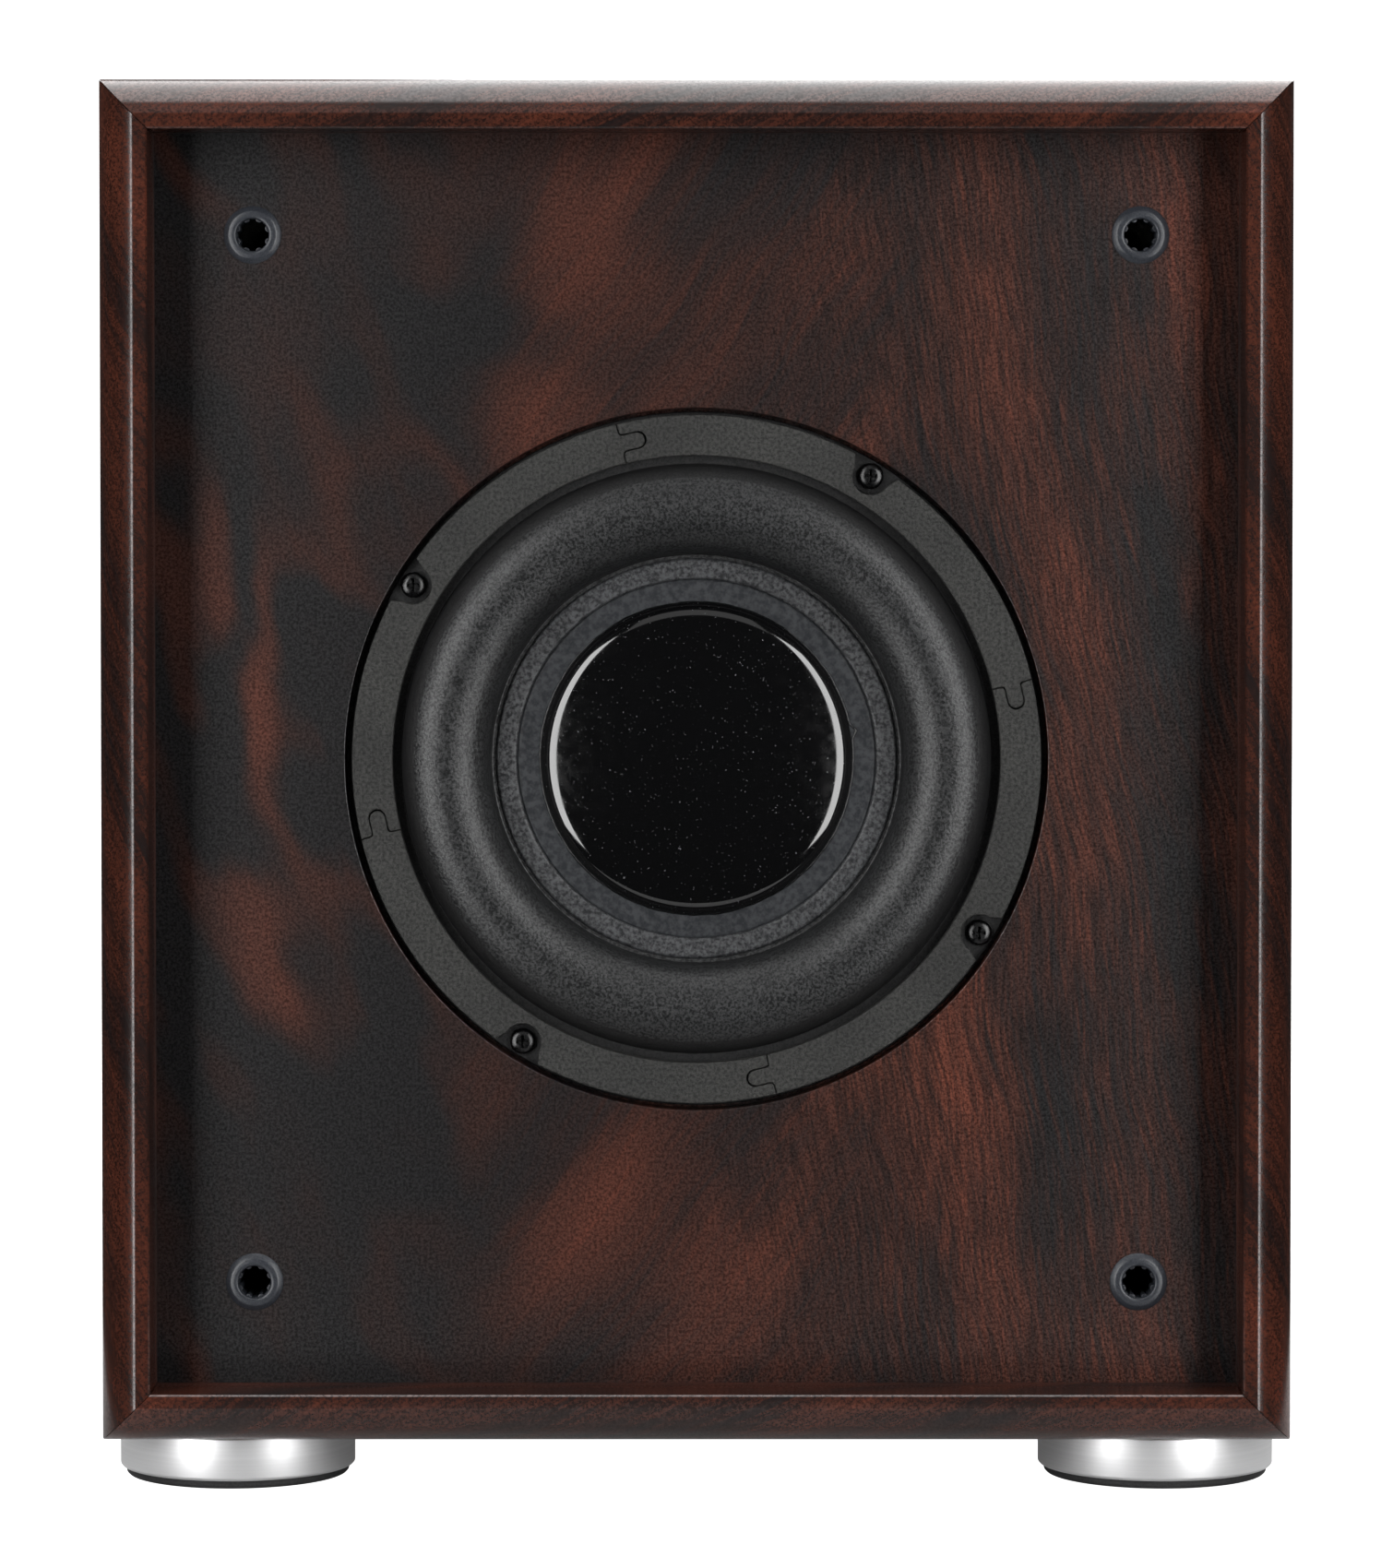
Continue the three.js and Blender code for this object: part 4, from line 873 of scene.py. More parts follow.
def make_driver_screws():
    for k, angle in enumerate(SCREW_ANGLES, 1):
        across, up = on_circle(SCREW_CIRCLE, angle)
        place = (across, BAFFLE_FACE + RIM_FRONT - 0.3, MIDDLE + up)
        screw = cross_screw(f"pan_screw_{k}", 3.8, 2.1, place, -1, (2.1, 16.5))
        finished(screw, SCREW, "black_steel", f"driver_screw_{k}")


LIP_DEPTH = 8
LIP_RADIUS = 59.6
CAP_RADIUS = 45.6
ROLL_INNER = 60.8
ROLL_OUTER = 87.4
ROLL_HEIGHT = 12
RUBBER_WALL = 1.1


NECK_RADIUS = 19.4  # where the cone meets the coil former
NECK_DEPTH = 32


def make_cone():
    """The cone, whose flat lip is the smooth grey ring round the dust cap."""
    front = [(NECK_RADIUS, NECK_DEPTH), (44.6, LIP_DEPTH), (52.6, LIP_DEPTH - 0.15)]
    front += [(53.6, LIP_DEPTH + 0.1), (LIP_RADIUS, LIP_DEPTH + 0.1)]
    back = [(LIP_RADIUS, LIP_DEPTH + 1), (45.2, LIP_DEPTH + 1.4), (NECK_RADIUS, NECK_DEPTH + 2)]
    driver_ring("coated_cone", front + back, (LIP, "cone_paper"), "woofer_cone", CONE, 0.5, 160)


CAP_FLAT = math.radians(13)  # slope where the shallow dome turns into its rolled rim
CAP_RIM = math.radians(48)  # slope at the very edge
CAP_ROLL = 4.2  # width of the rolled rim
CAP_WALL = 0.7


def cap_profile():
    """The dust cap's outer face as [radius, depth], from its top out to its edge."""
    rings = 60
    radii = [CAP_RADIUS * (k / rings) ** 0.8 for k in range(rings + 1)]
    drop, last = [0.0], 0.0
    for before, radius in zip(radii, radii[1:]):
        slope = CAP_FLAT * radius / (CAP_RADIUS - CAP_ROLL)
        roll = max(0, (radius - CAP_RADIUS + CAP_ROLL) / CAP_ROLL)
        slope = min(slope, CAP_FLAT) + (CAP_RIM - CAP_FLAT) * roll**2
        last += (radius - before) * math.tan(slope)
        drop.append(last)
    rim = LIP_DEPTH - 0.8
    return [(radius, rim - last + fall) for radius, fall in zip(radii, drop)]


def make_dust_cap():
    dome = cap_profile()
    low = LIP_DEPTH - 0.3
    foot = [(CAP_RADIUS + 0.5, LIP_DEPTH - 0.65), (CAP_RADIUS + 0.7, low), (CAP_RADIUS - 1.6, low)]
    inside = [(radius, depth + CAP_WALL) for radius, depth in dome if radius < CAP_RADIUS - 2]
    cap = turned("gloss_dome", dome + foot + inside[::-1], DRIVER, 192, angle=60)
    finished(cap, CAP, "gloss_cap", "dust_cap", CONE)


def make_glue_bead():
    """The uneven line of glue round the cap, with one run that has crept outwards."""
    steps, sides = 360, 8
    run_angle, run_width = math.radians(10), 0.03
    phases = [random.uniform(0, 2 * math.pi) for _ in range(6)]
    waves = (3, 7, 13, 29, 47, 83)
    sizes = (0.05, 0.05, 0.05, 0.05, 0.04, 0.03)
    rings = []
    for k in range(steps):
        turn = 2 * math.pi * k / steps
        wobble = sum(a * math.sin(n * turn + p) for a, n, p in zip(sizes, waves, phases))
        away = (turn - run_angle + math.pi) % (2 * math.pi) - math.pi
        run = math.exp(-((away / run_width) ** 2))
        radius = CAP_RADIUS + 0.95 + wobble * 0.8 + 1.5 * run
        thick = 0.28 + 0.12 * wobble + 0.12 * run
        ring = []
        for side in range(sides):
            angle = 2 * math.pi * side / sides
            across, up = on_circle(radius + thick * math.cos(angle), turn)
            deep = LIP_DEPTH - 0.15 - thick * math.sin(angle)
            ring.append((across, BAFFLE_FACE + deep, MIDDLE + up))
        rings.append(ring)
    finished(tube("glue_bead", rings, True, 80), GLUE, "gloss_cap", body=CONE)


def make_flange():
    """The surround's inner flange, glued on the cone's lip and rough with adhesive."""
    profile = [(53.3, 0.1), (53.3, 0.9), (53.9, 1.5), (58.8, 1.8), (59.6, 1.2), (59.7, 0.1)]
    outline = [(radius, LIP_DEPTH - lift) for radius, lift in profile]
    driver_ring("inner_flange", outline, (GLUED, "surround_rubber"), None, CONE, 0.5, 192)


PAINTED_SHADE_START = 83.6  # radius from which the outer flange is painted black: painted shade for the deep groove under the foam ring's edge


def make_surround():
    """The half roll of rubber, with the flange by which it hangs in the basket."""
    middle = (ROLL_INNER + ROLL_OUTER) / 2
    half = (ROLL_OUTER - ROLL_INNER) / 2
    inner_front = LIP_DEPTH - 0.9
    outer_front = SEAT_FRONT - RUBBER_WALL - 0.3
    steps = 40

    def roll(offset):
        points = []
        for k in range(steps + 1):
            turn = math.pi - math.pi * k / steps
            base = inner_front + (outer_front - inner_front) * k / steps
            across = middle + (half - offset) * math.cos(turn)
            points.append((across, base + offset - ROLL_HEIGHT * math.sin(turn)))
        return points

    foot, rim = 58, SEAT_RADIUS - 0.3
    front = [(foot, inner_front), *roll(0), (rim, outer_front)]
    back = [(rim, outer_front + RUBBER_WALL), *roll(RUBBER_WALL)[::-1], (foot, inner_front + RUBBER_WALL)]
    surround = turned("rolled_surround", softened(front + back, 0.8, 4), DRIVER, 192)
    for material in (RUBBER, FRAME):  # FRAME paints the flange outside the roll black: painted shade where the foam ring shadows the groove
        coloured(surround, material)
    for face in surround.data.polygons:
        radius = math.hypot(face.center.x, face.center.z - MIDDLE * MM) / MM
        face.material_index = int(radius > PAINTED_SHADE_START)
    blended(surround, "rubber_surround", ROLL_OUTER, ROLL_INNER)


SPIDER_INNER = 19.5
SPIDER_OUTER = 52
SPIDER_WAVES = 5
SPIDER_WAVE = 1.2  # height
SPIDER_CLOTH = 0.7  # thickness


def make_spider():
    """The corrugated cloth disc that centres the coil."""
    front = []
    steps = SPIDER_WAVES * 12
    for k in range(steps + 1):
        t = k / steps
        swing = SPIDER_WAVE * (1 - math.cos(2 * math.pi * SPIDER_WAVES * t)) / 2
        radius = SPIDER_INNER + (SPIDER_OUTER - SPIDER_INNER) * t
        front.append((radius, SHELF_DEPTH - 3.2 + swing))
    back = [(radius, depth + SPIDER_CLOTH) for radius, depth in reversed(front)]
    land = [(56, SHELF_DEPTH - 2.0), (56, SHELF_DEPTH - 1.2)]
    spider = coloured(turned("corrugated_spider", front + land + back, DRIVER, 96), CLOTH)
    blended(spider, "spider", SPIDER_OUTER, SPIDER_INNER)


# ------------------------------------------------------------------ grille sockets
SOCKET_FLANGE = 8.5  # radius
SOCKET_BORE = 4.8  # radius
SOCKET_TEETH = 8
SOCKET_LENGTH = 14


def toothed_hole(x, z):
    """The bore's outline, with teeth that grip a grille's peg."""
    hole = []
    for k in range(SOCKET_TEETH):
        middle = 2 * math.pi * k / SOCKET_TEETH + math.pi / SOCKET_TEETH
        for inward, turn in ((0, -0.20), (0.6, -0.14), (0.75, 0), (0.6, 0.14), (0, 0.20)):
            across, up = on_circle(SOCKET_BORE - inward, middle + turn)
            hole.append((x + across, z + up))
    return hole


def make_sockets():
    """Each socket: a rounded flange on the baffle's face and a barrel pressed into its hole."""
    bore, rim, neck = SOCKET_BORE, SOCKET_FLANGE, SOCKET_HOLE - 0.3
    flange = [(bore, 0.4), (bore, -1.0), (bore + 0.3, -1.35), (bore + 1.0, -1.5), (bore + 2.2, -1.3)]
    flange += [(rim - 0.4, -0.55), (rim, -0.2), (rim, -0.05), (neck, -0.05), (neck, 0.4)]
    for name in SOCKETS:
        x, _, z = centre(f"grille_socket_{name}")
        place = (x, BAFFLE_FACE, z)
        ring = turned("ring", softened(flange, 0.3), place, 96)
        outer = circle(SOCKET_HOLE - 0.35, x, z, 64)
        face = (0, BAFFLE_FACE, 0)
        barrel = plate("barrel", outer, [toothed_hole(x, z)], 0.2, SOCKET_LENGTH, 0.12, place=face)
        socket = joined(f"peg_socket_{name}", [ring, barrel])
        finished(socket, SOCKET, "black_plastic", f"grille_socket_{name}")


# ------------------------------------------------------------------ feet
FOOT_RADIUS = 35.2
PAD_RADIUS = 33.4
PAD_SHOWN = 2.5
PAD_THICK = 4
STUD_RADIUS = 3
FEET = ["front_left", "front_right", "rear_left", "rear_right"]


def make_feet():
    """Turned metal feet with a stud, each over a rubber pad that sits in it."""
    pad_hole, roof, top = PAD_RADIUS + 0.3, PAD_THICK + 0.3, BOTTOM - 0.3
    shell = [(0, roof), (pad_hole, roof), (pad_hole, PAD_SHOWN), (FOOT_RADIUS - 0.7, PAD_SHOWN)]
    shell += [(FOOT_RADIUS, PAD_SHOWN + 0.7), (FOOT_RADIUS, top - 0.3), (FOOT_RADIUS - 0.3, top)]
    shell += [(STUD_RADIUS, top), (STUD_RADIUS, BOTTOM + STUD), (0, BOTTOM + STUD)]
    pad = [(0, 0), (PAD_RADIUS - 0.8, 0), (PAD_RADIUS, 0.8), (PAD_RADIUS, PAD_THICK), (0, PAD_THICK)]
    for name in FEET:
        x, y, _ = centre(f"foot_{name}")
        place = (x, y, 0)
        metal = turned(f"turned_foot_{name}", softened(shell, 0.3), place, 160, True)
        finished(metal, FOOT_METAL, "foot_metal", f"foot_{name}")
        rubber = turned(f"rubber_pad_{name}", softened(pad, 0.4), place, 128, True)
        finished(rubber, PAD, "pad_rubber", f"foot_pad_{name}")


# ------------------------------------------------------------------ motor, coil and wiring
GAP_RADIUS = 21  # of the front plate's bore, with the coil inside it
FRONT_PLATE_RADIUS = 48
MAGNET_BORE = 32  # radius
MAGNET_RADIUS = 60
MAGNET_FRONT = BASKET_BACK + 6.3
MAGNET_BACK = MAGNET_FRONT + 20
POLE_RADIUS = 18.2
VENT_RADIUS = 5
YOKE_RADIUS = 52
YOKE_BACK = MAGNET_BACK + 6
FORMER_RADIUS = 18.7
FORMER_FRONT = 29
FORMER_BACK = 74
COIL_FRONT = 57
COIL_TURNS = 32
COIL_WIRE = 0.25  # radius


def band(inner, outer, front, back):
    """The outline of a plain ring, as [radius, depth]."""
    return [(inner, front), (outer, front), (outer, back), (inner, back)]


def make_motor():
    plate_back = MAGNET_FRONT - JOINT_GAP
    front = band(GAP_RADIUS, FRONT_PLATE_RADIUS, BASKET_BACK + JOINT_GAP, plate_back)
    magnet = band(MAGNET_BORE, MAGNET_RADIUS, MAGNET_FRONT, MAGNET_BACK)
    tip, back = BASKET_BACK - 1, MAGNET_BACK + JOINT_GAP
    yoke = [(VENT_RADIUS, tip), (POLE_RADIUS - 1.2, tip), (POLE_RADIUS, tip + 1), (POLE_RADIUS, back)]
    yoke += [(YOKE_RADIUS, back), (YOKE_RADIUS, YOKE_BACK), (VENT_RADIUS, YOKE_BACK)]
    driver_ring("magnet_front_plate", front, (ZINC, "motor_steel"), "front_plate", CABINET)
    driver_ring("magnet_ring", magnet, (FERRITE, "ferrite"), "ferrite_magnet", CABINET, 1.5)
    driver_ring("vented_yoke", yoke, (ZINC, "motor_steel"), "pole_yoke", CABINET)


def make_coil():
    """The former, and a coil whose turns are a shallow wave in its outline."""
    former = band(FORMER_RADIUS, FORMER_RADIUS + 0.4, FORMER_FRONT, FORMER_BACK)
    driver_ring("glass_former", former, (CLOTH, "cloth"), "coil_former", CONE, 0.1)
    inner, outer = FORMER_RADIUS + 0.7, FORMER_RADIUS + 1.5
    winding = [(inner, COIL_FRONT)]
    for k in range(COIL_TURNS * 4):
        along = COIL_FRONT + COIL_WIRE * (1 + k / 2)
        winding.append((outer + 0.1 * math.cos(k * math.pi / 2), along))
    winding.append((inner, COIL_FRONT + 2 * COIL_WIRE * (1 + COIL_TURNS)))
    finished(turned("wound_coil", winding, DRIVER, 64), COPPER, "copper", "voice_coil", CONE)


def lead(name, route, radius, sides=12, steps=10):
    """A round wire along a smooth curve through the route's points."""
    points = [Vector(p) for p in route]
    points = [2 * points[0] - points[1], *points, 2 * points[-1] - points[-2]]
    path = []
    for a, b, c, d in zip(points, points[1:], points[2:], points[3:]):
        for k in range(steps):
            t = k / steps
            bend = 2 * b + (c - a) * t + (2 * a - 5 * b + 4 * c - d) * t**2
            path.append((bend + (3 * b - a - 3 * c + d) * t**3) / 2)
    path.append(points[-2])
    rings = []
    side = Vector((0, 0, 1))
    for k, point in enumerate(path):
        ahead = (path[min(k + 1, len(path) - 1)] - path[max(k - 1, 0)]).normalized()
        side = (side - ahead * side.dot(ahead)).normalized()
        other = ahead.cross(side)
        section = circle(radius, steps=sides)
        rings.append([tuple(point + side * across + other * up) for across, up in section])
    return tube(name, rings, False, 50)


TAG_X = 66  # of the terminal strip's solder tags, counted from the driver's axis
TAG_DEPTH = 46
TAG_UP = 8  # how far they are above and below it
BASKET_LEAD = 62  # a tinsel lead stays still from this radius outwards
CONE_LEAD = 35  # and moves with the cone from this radius inwards
BOARD_DEPTH = 26  # from the amplifier panel's inner face to the circuit board's far face


def route_from(start, steps):
    """Points counted from a start, in millimetres."""
    return [tuple(a + b for a, b in zip(start, step)) for step in steps]


def make_terminal_strip(deep):
    strip = block("strip", (53.6, TAG_X + 6), (deep, deep + 2), (MIDDLE - 14, MIDDLE + 14), 0.5)
    parts = [coloured(strip, PLASTIC)]
    for z in (MIDDLE - TAG_UP, MIDDLE + TAG_UP):
        tag = block("tag", (TAG_X - 3, TAG_X + 12), (deep - 1, deep - 0.1), (z - 2.5, z + 2.5), 0.2)
        parts.append(coloured(tag, NICKEL))
    placed(joined("tag_strip", parts), "terminal_strip")


def make_wiring():
    """The terminal strip, the tinsel leads from it to the cone, and the lead to the amplifier."""
    deep = BAFFLE_FACE + TAG_DEPTH
    make_terminal_strip(deep)
    for name, side in (("plus", 1), ("minus", -1)):
        steps = [(-1, -2.2, 0), (3, -6, 1), (3, -13, 2), (-6, -19, 3), (-20, -20.5, 1), (-32, -22.4, 0)]
        steps = [(x, y, side * (TAG_UP + out)) for x, y, out in steps]
        tinsel = lead(f"braided_lead_{name}", route_from((TAG_X, deep, MIDDLE), steps), 0.8)
        node = f"tinsel_lead_{name}"
        blended(coloured(tinsel, COPPER), node, BASKET_LEAD, CONE_LEAD, (0, 0, 0))
    board = REAR_FACE - BOARD_DEPTH
    steps = [(14.4, 1, 2), (20, 10, -6), (24, 60, -50), (4, 130, -85)]
    route = route_from((TAG_X, deep, MIDDLE), steps)
    route.append((TAG_X - 50, board - 70, MIDDLE - 70))
    route.append((TAG_X - 60, board - 20, PANEL_MIDDLE - 20))
    route.append((TAG_X - 60, board - JOINT_GAP, PANEL_MIDDLE - 18))
    cable = lead("twin_lead", route, 2.4, 16)
    finished(cable, PLASTIC, "black_plastic", "speaker_lead")


def make_wadding():
    """Folded polyester wadding against the top and both sides: a thick sheet with a lumpy face."""
    thick, clear, cell = 24, 2, 4  # cell: the even grid that the lumps are shaped on
    x = WIDTH / 2 - PANEL - clear
    half_z = HEIGHT / 2 - PANEL - clear
    front, back = BAFFLE_FACE + BAFFLE + 12, REAR_FACE - REAR_PANEL - 12
    low, high = MIDDLE - half_z + thick, MIDDLE + half_z
    outline = [(-x, low), (-x, high), (x, high), (x, low)]
    outline += [(x - thick, low), (x - thick, high - thick), (thick - x, high - thick), (thick - x, low)]
    pad = plate("wadding_sheet", softened_loop(outline, 9, 5), [], front, back, 8, 5)
    remesh = pad.modifiers.new("even", "REMESH")
    remesh.mode = "VOXEL"
    remesh.voxel_size = cell * MM
    apply_modifiers(pad)
    mesh = pad.data
    lumps = [Vector([random.uniform(-9, 9) for _ in range(3)]) for _ in range(5)]
    normals = [vertex.normal.copy() for vertex in mesh.vertices]
    for vertex, normal in zip(mesh.vertices, normals):
        place = vertex.co / MM
        dent = sum(math.sin(place.dot(lump) / 90 + k) for k, lump in enumerate(lumps)) / 5
        vertex.co -= normal * (1.2 + 1.1 * dent) * MM
    shade(mesh, 180)
    finished(pad, WADDING, "wadding", "acoustic_wadding")


# ------------------------------------------------------------------ rear panel and amplifier
AMP = (0, REAR_FACE, PANEL_MIDDLE)  # the amplifier's places are counted from here
PLATE = 3  # thickness
PLATE_WIDTH = 2 * corner("amplifier_panel", 1)[0]
PLATE_HEIGHT = corner("amplifier_panel", 1)[2] - corner("amplifier_panel", 0)[2]
PLATE_BORDER = 15
FLANGE_FACE = PLATE + JOINT_GAP
SLIDER_WIDTH = 4
SLIDER_TRAVEL = 4
DIALS = {"volume_knob": "volume_control", "crossover_knob": "crossover_control"}
SLIDERS = {"phase_slider": "phase_switch", "mode_slider": "mode_switch"}


def beside(node):
    """A CAD node's middle across and up, counted from the middle of the amplifier panel."""
    x, _, z = centre(node)
    return x, z - PANEL_MIDDLE


def rectangle(width, height, x=0, z=0, radius=0.5, steps=4):
    w, h = width / 2, height / 2
    corners = [(x - w, z - h), (x + w, z - h), (x + w, z + h), (x - w, z + h)]
    return softened_loop(corners, radius, steps)


def amp_plate(name, outer, holes, depths, edge=0.3):
    return plate(name, outer, holes, *depths, edge, 3, AMP)


def amp_block(name, size, place, depths, radius=0.5, edge=0.3, holes=()):
    return amp_plate(name, rectangle(*size, *place, radius), holes, depths, edge)


def amp_turned(name, outline, x, z, steps=64, edge=0.3):
    return turned(name, softened(outline, edge), (x, REAR_FACE, PANEL_MIDDLE + z), steps)


def rod(radius, front, back):
    """The outline of a solid round bar."""
    return [(0, front), (radius, front), (radius, back), (0, back)]


def make_rear_panel():
    reach = 2 * (REAR_REBATE - PANEL - JOINT_GAP)
    hole = rectangle(PLATE_WIDTH - 2 * PLATE_BORDER, PLATE_HEIGHT - 2 * PLATE_BORDER, radius=0.3)
    size, middle = (WIDTH + reach, HEIGHT + reach), (0, MIDDLE - PANEL_MIDDLE)
    board = amp_block("rear_board", size, middle, (-REAR_PANEL, -JOINT_GAP), 0.3, holes=[hole])
    finished(board, FOIL_REAR, "foil_wood", "rear_panel")


def panel_holes():
    """The holes in the amplifier's panel: shafts, lamp, sliders and the four sockets."""
    holes = [circle(4.2, *beside(knob), 32) for knob in DIALS]
    holes.append(circle(2.9, *beside("standby_lamp"), 24))
    x, z = beside("phase_slider")
    holes.append(rectangle(SLIDER_WIDTH + SLIDER_TRAVEL + 1, 5, x + SLIDER_TRAVEL / 2, z, 0.8))
    x, z = beside("mode_slider")
    holes.append(rectangle(SLIDER_WIDTH + 2 * SLIDER_TRAVEL + 1, 5, x, z, 0.8))
    for node in ("input_jacks", "terminal_block", "mains_inlet", "switch_frame"):
        low, high = corner(node, 0), corner(node, 1)
        holes.append(rectangle(high[0] - low[0] - 4, high[2] - low[2] - 4, *beside(node), 1))
    return holes


INK_DEPTHS = (PLATE - 0.02, PLATE + 0.06)
DIAL_RADIUS = 11.2


def tick(x, z, turn, length, width=0.7):
    """A thin printed mark on the amplifier panel, pointing away from x, z."""
    across, up = math.sin(turn), math.cos(turn)
    mark = []
    for out, side in ((0, -1), (0, 1), (length, 1), (length, -1)):
        out += DIAL_RADIUS
        side *= width / 2
        mark.append((x - out * across + side * up, z + out * up + side * across))
    return amp_plate("mark", mark, [], INK_DEPTHS, 0.02)


def make_panel_marks():
    marks = []
    for knob in DIALS:
        for k in range(11):
            length = 2.4 if k % 5 == 0 else 1.4
            marks.append(tick(*beside(knob), math.radians(-150 + 30 * k), length))
    for node, reach in (("input_jacks", 20), ("terminal_block", 36)):
        x, z = beside(node)
        for side in (-1, 1):
            marks.append(amp_block("mark", (0.6, 30), (x + side * reach, z), INK_DEPTHS, 0.1, 0.02))
    finished(joined("panel_marks", marks), INK, "black_steel")


def make_amp_panel():
    outer = rectangle(PLATE_WIDTH, PLATE_HEIGHT, radius=6, steps=8)
    panel = amp_plate("amplifier_face", outer, panel_holes(), (0, PLATE), 0.5)
    finished(panel, STEEL, "black_steel", "amplifier_panel")
    x = (PLATE_WIDTH - PLATE_BORDER) / 2
    z = (PLATE_HEIGHT - PLATE_BORDER) / 2
    places = [(a, b) for a in (-x, 0, x) for b in (-z, 0, z) if a or b]
    for k, (across, up) in enumerate(places, 1):
        place = (across, REAR_FACE + PLATE, PANEL_MIDDLE + up)
        screw = cross_screw(f"panel_screw_{k}", 3.6, 2.2, place, 1, (1.8, 10))
        finished(screw, SCREW, "black_steel")


def rearranged(obj, rule):
    """Moves each point to where the rule puts its three millimetre coordinates."""
    for vertex in obj.data.vertices:
        vertex.co = Vector(rule(*(vertex.co / MM))) * MM
    tidy(obj.data)
    shade(obj.data)
    return obj


def make_heat_sink():
    """Upright fins: the section is drawn as a plate and then stood up."""
    low, high = corner("heat_sink", 0), corner("heat_sink", 1)
    fins, fin, base = 16, 2.4, 4
    back, tip = REAR_FACE + FLANGE_FACE, high[1]
    pitch = (high[0] - low[0] - fin) / (fins - 1)
    outline = []
    for k in range(fins):
        left = low[0] + pitch * k
        outline += [(left - 0.3, back + base), (left + 0.4, tip - 0.6), (left + 0.8, tip)]
        outline += [(left + fin - 0.8, tip), (left + fin - 0.4, tip - 0.6), (left + fin + 0.3, back + base)]
    outline = [(low[0], back), *outline[1:-1], (high[0], back)]
    sink = plate("finned_sink", softened_loop(outline, 0.5), [], 0, high[2] - low[2], 0.3)
    rearranged(sink, lambda x, up, y: (x, y, low[2] + up))
    finished(sink, SINK, "sink_metal", "heat_sink")


BOARD_SIZE = (170, 86)
BOARD_THICK = 1.6
CAN_RADIUS = 11
CAN_LENGTH = 30
COOLER_FINS = 6
SMALL_PARTS = 24


def can_outline(front):
    """A capacitor in its sleeve, with the crimped groove near its foot."""
    radius, end = CAN_RADIUS, front - CAN_LENGTH
    can = [(0, end), (radius - 1.5, end), (radius, end + 1.5), (radius, front - 4)]
    return can + [(radius - 0.8, front - 3), (radius, front - 2), (radius, front), (0, front)]


def make_board():
    """The circuit board with its pots, switches, capacitors, chip cooler and small parts."""
    front = -BOARD_DEPTH
    face = front + BOARD_THICK
    board = amp_block("board", BOARD_SIZE, (0, -19), (front, face), 1.5, 0.1)
    parts = [coloured(board, BOARD)]
    for knob in DIALS:
        x, z = beside(knob)
        shaft = [(0, -8), (3.6, -8), (3.6, PLATE - 0.5), (3, PLATE - 0.5), (3, PLATE + 11), (0, PLATE + 11)]
        parts.append(coloured(amp_block("pot", (16, 16), (x, z), (face, -8), 1), ZINC))
        parts.append(coloured(amp_turned("shaft", shaft, x, z, 32, 0.2), ZINC))
    for slider in SLIDERS:
        parts.append(coloured(amp_block("body", (22, 10), beside(slider), (face, -5), 0.6), ZINC))
    for x in (-60, -30):
        parts.append(coloured(amp_turned("can", can_outline(front), x, -30, 48), PLASTIC))
    for k in range(COOLER_FINS):
        blade = amp_block("cooler", (50, 0.6), (45, -50 + 1.2 * k), (front - 16, front), 0.1, 0.1)
        parts.append(coloured(blade, SINK))
    for _ in range(SMALL_PARTS):
        x = random.uniform(-76, 20)
        z = random.uniform(-8, 18)
        body = amp_turned("small_part", rod(1.6, front - 5, front), x, z, 16, 0.4)
        parts.append(coloured(body, random.choice([CLOTH, COPPER, PLASTIC])))
    placed(joined("circuit_board", parts), "amplifier_board")


TOROID_HOLE = 11  # radius
TOROID_RADIUS = 36
TOROID_HEIGHT = 38


def make_transformer():
    """A toroid whose winding is a shallow wave round it."""
    x, z = beside("toroidal_transformer")
    turns, relief = 90, 0.18
    outline = band(TOROID_HOLE, TOROID_RADIUS, -JOINT_GAP - TOROID_HEIGHT, -JOINT_GAP)
    outline = softened(outline, 9, 8)
    ring = turned("wound_toroid", outline, (x, REAR_FACE, PANEL_MIDDLE + z), 180)
    middle = Vector((x, 0, PANEL_MIDDLE + z)) * MM
    normals = [vertex.normal.copy() for vertex in ring.data.vertices]
    for vertex, normal in zip(ring.data.vertices, normals):
        out = vertex.co - middle
        lift = relief * math.cos(turns * math.atan2(out.z, out.x))
        vertex.co += normal * (lift - 0.2) * MM
    finished(ring, COPPER, "copper", "toroidal_transformer")


KNOB_RADIUS = 9.5
KNOB_HEIGHT = 15
KNOB_BORE = 3.3  # radius
FLUTES = 24
FLUTE_DEPTH = 0.35


def fluted_outline(x, z):
    outline = []
    for k in range(10 * FLUTES):
        turn = 2 * math.pi * k / (10 * FLUTES)
        flute = FLUTE_DEPTH * max(0, math.cos(FLUTES * turn))
        across, up = on_circle(KNOB_RADIUS - 0.9 + flute, turn)
        outline.append((x + across, z + up))
    return outline


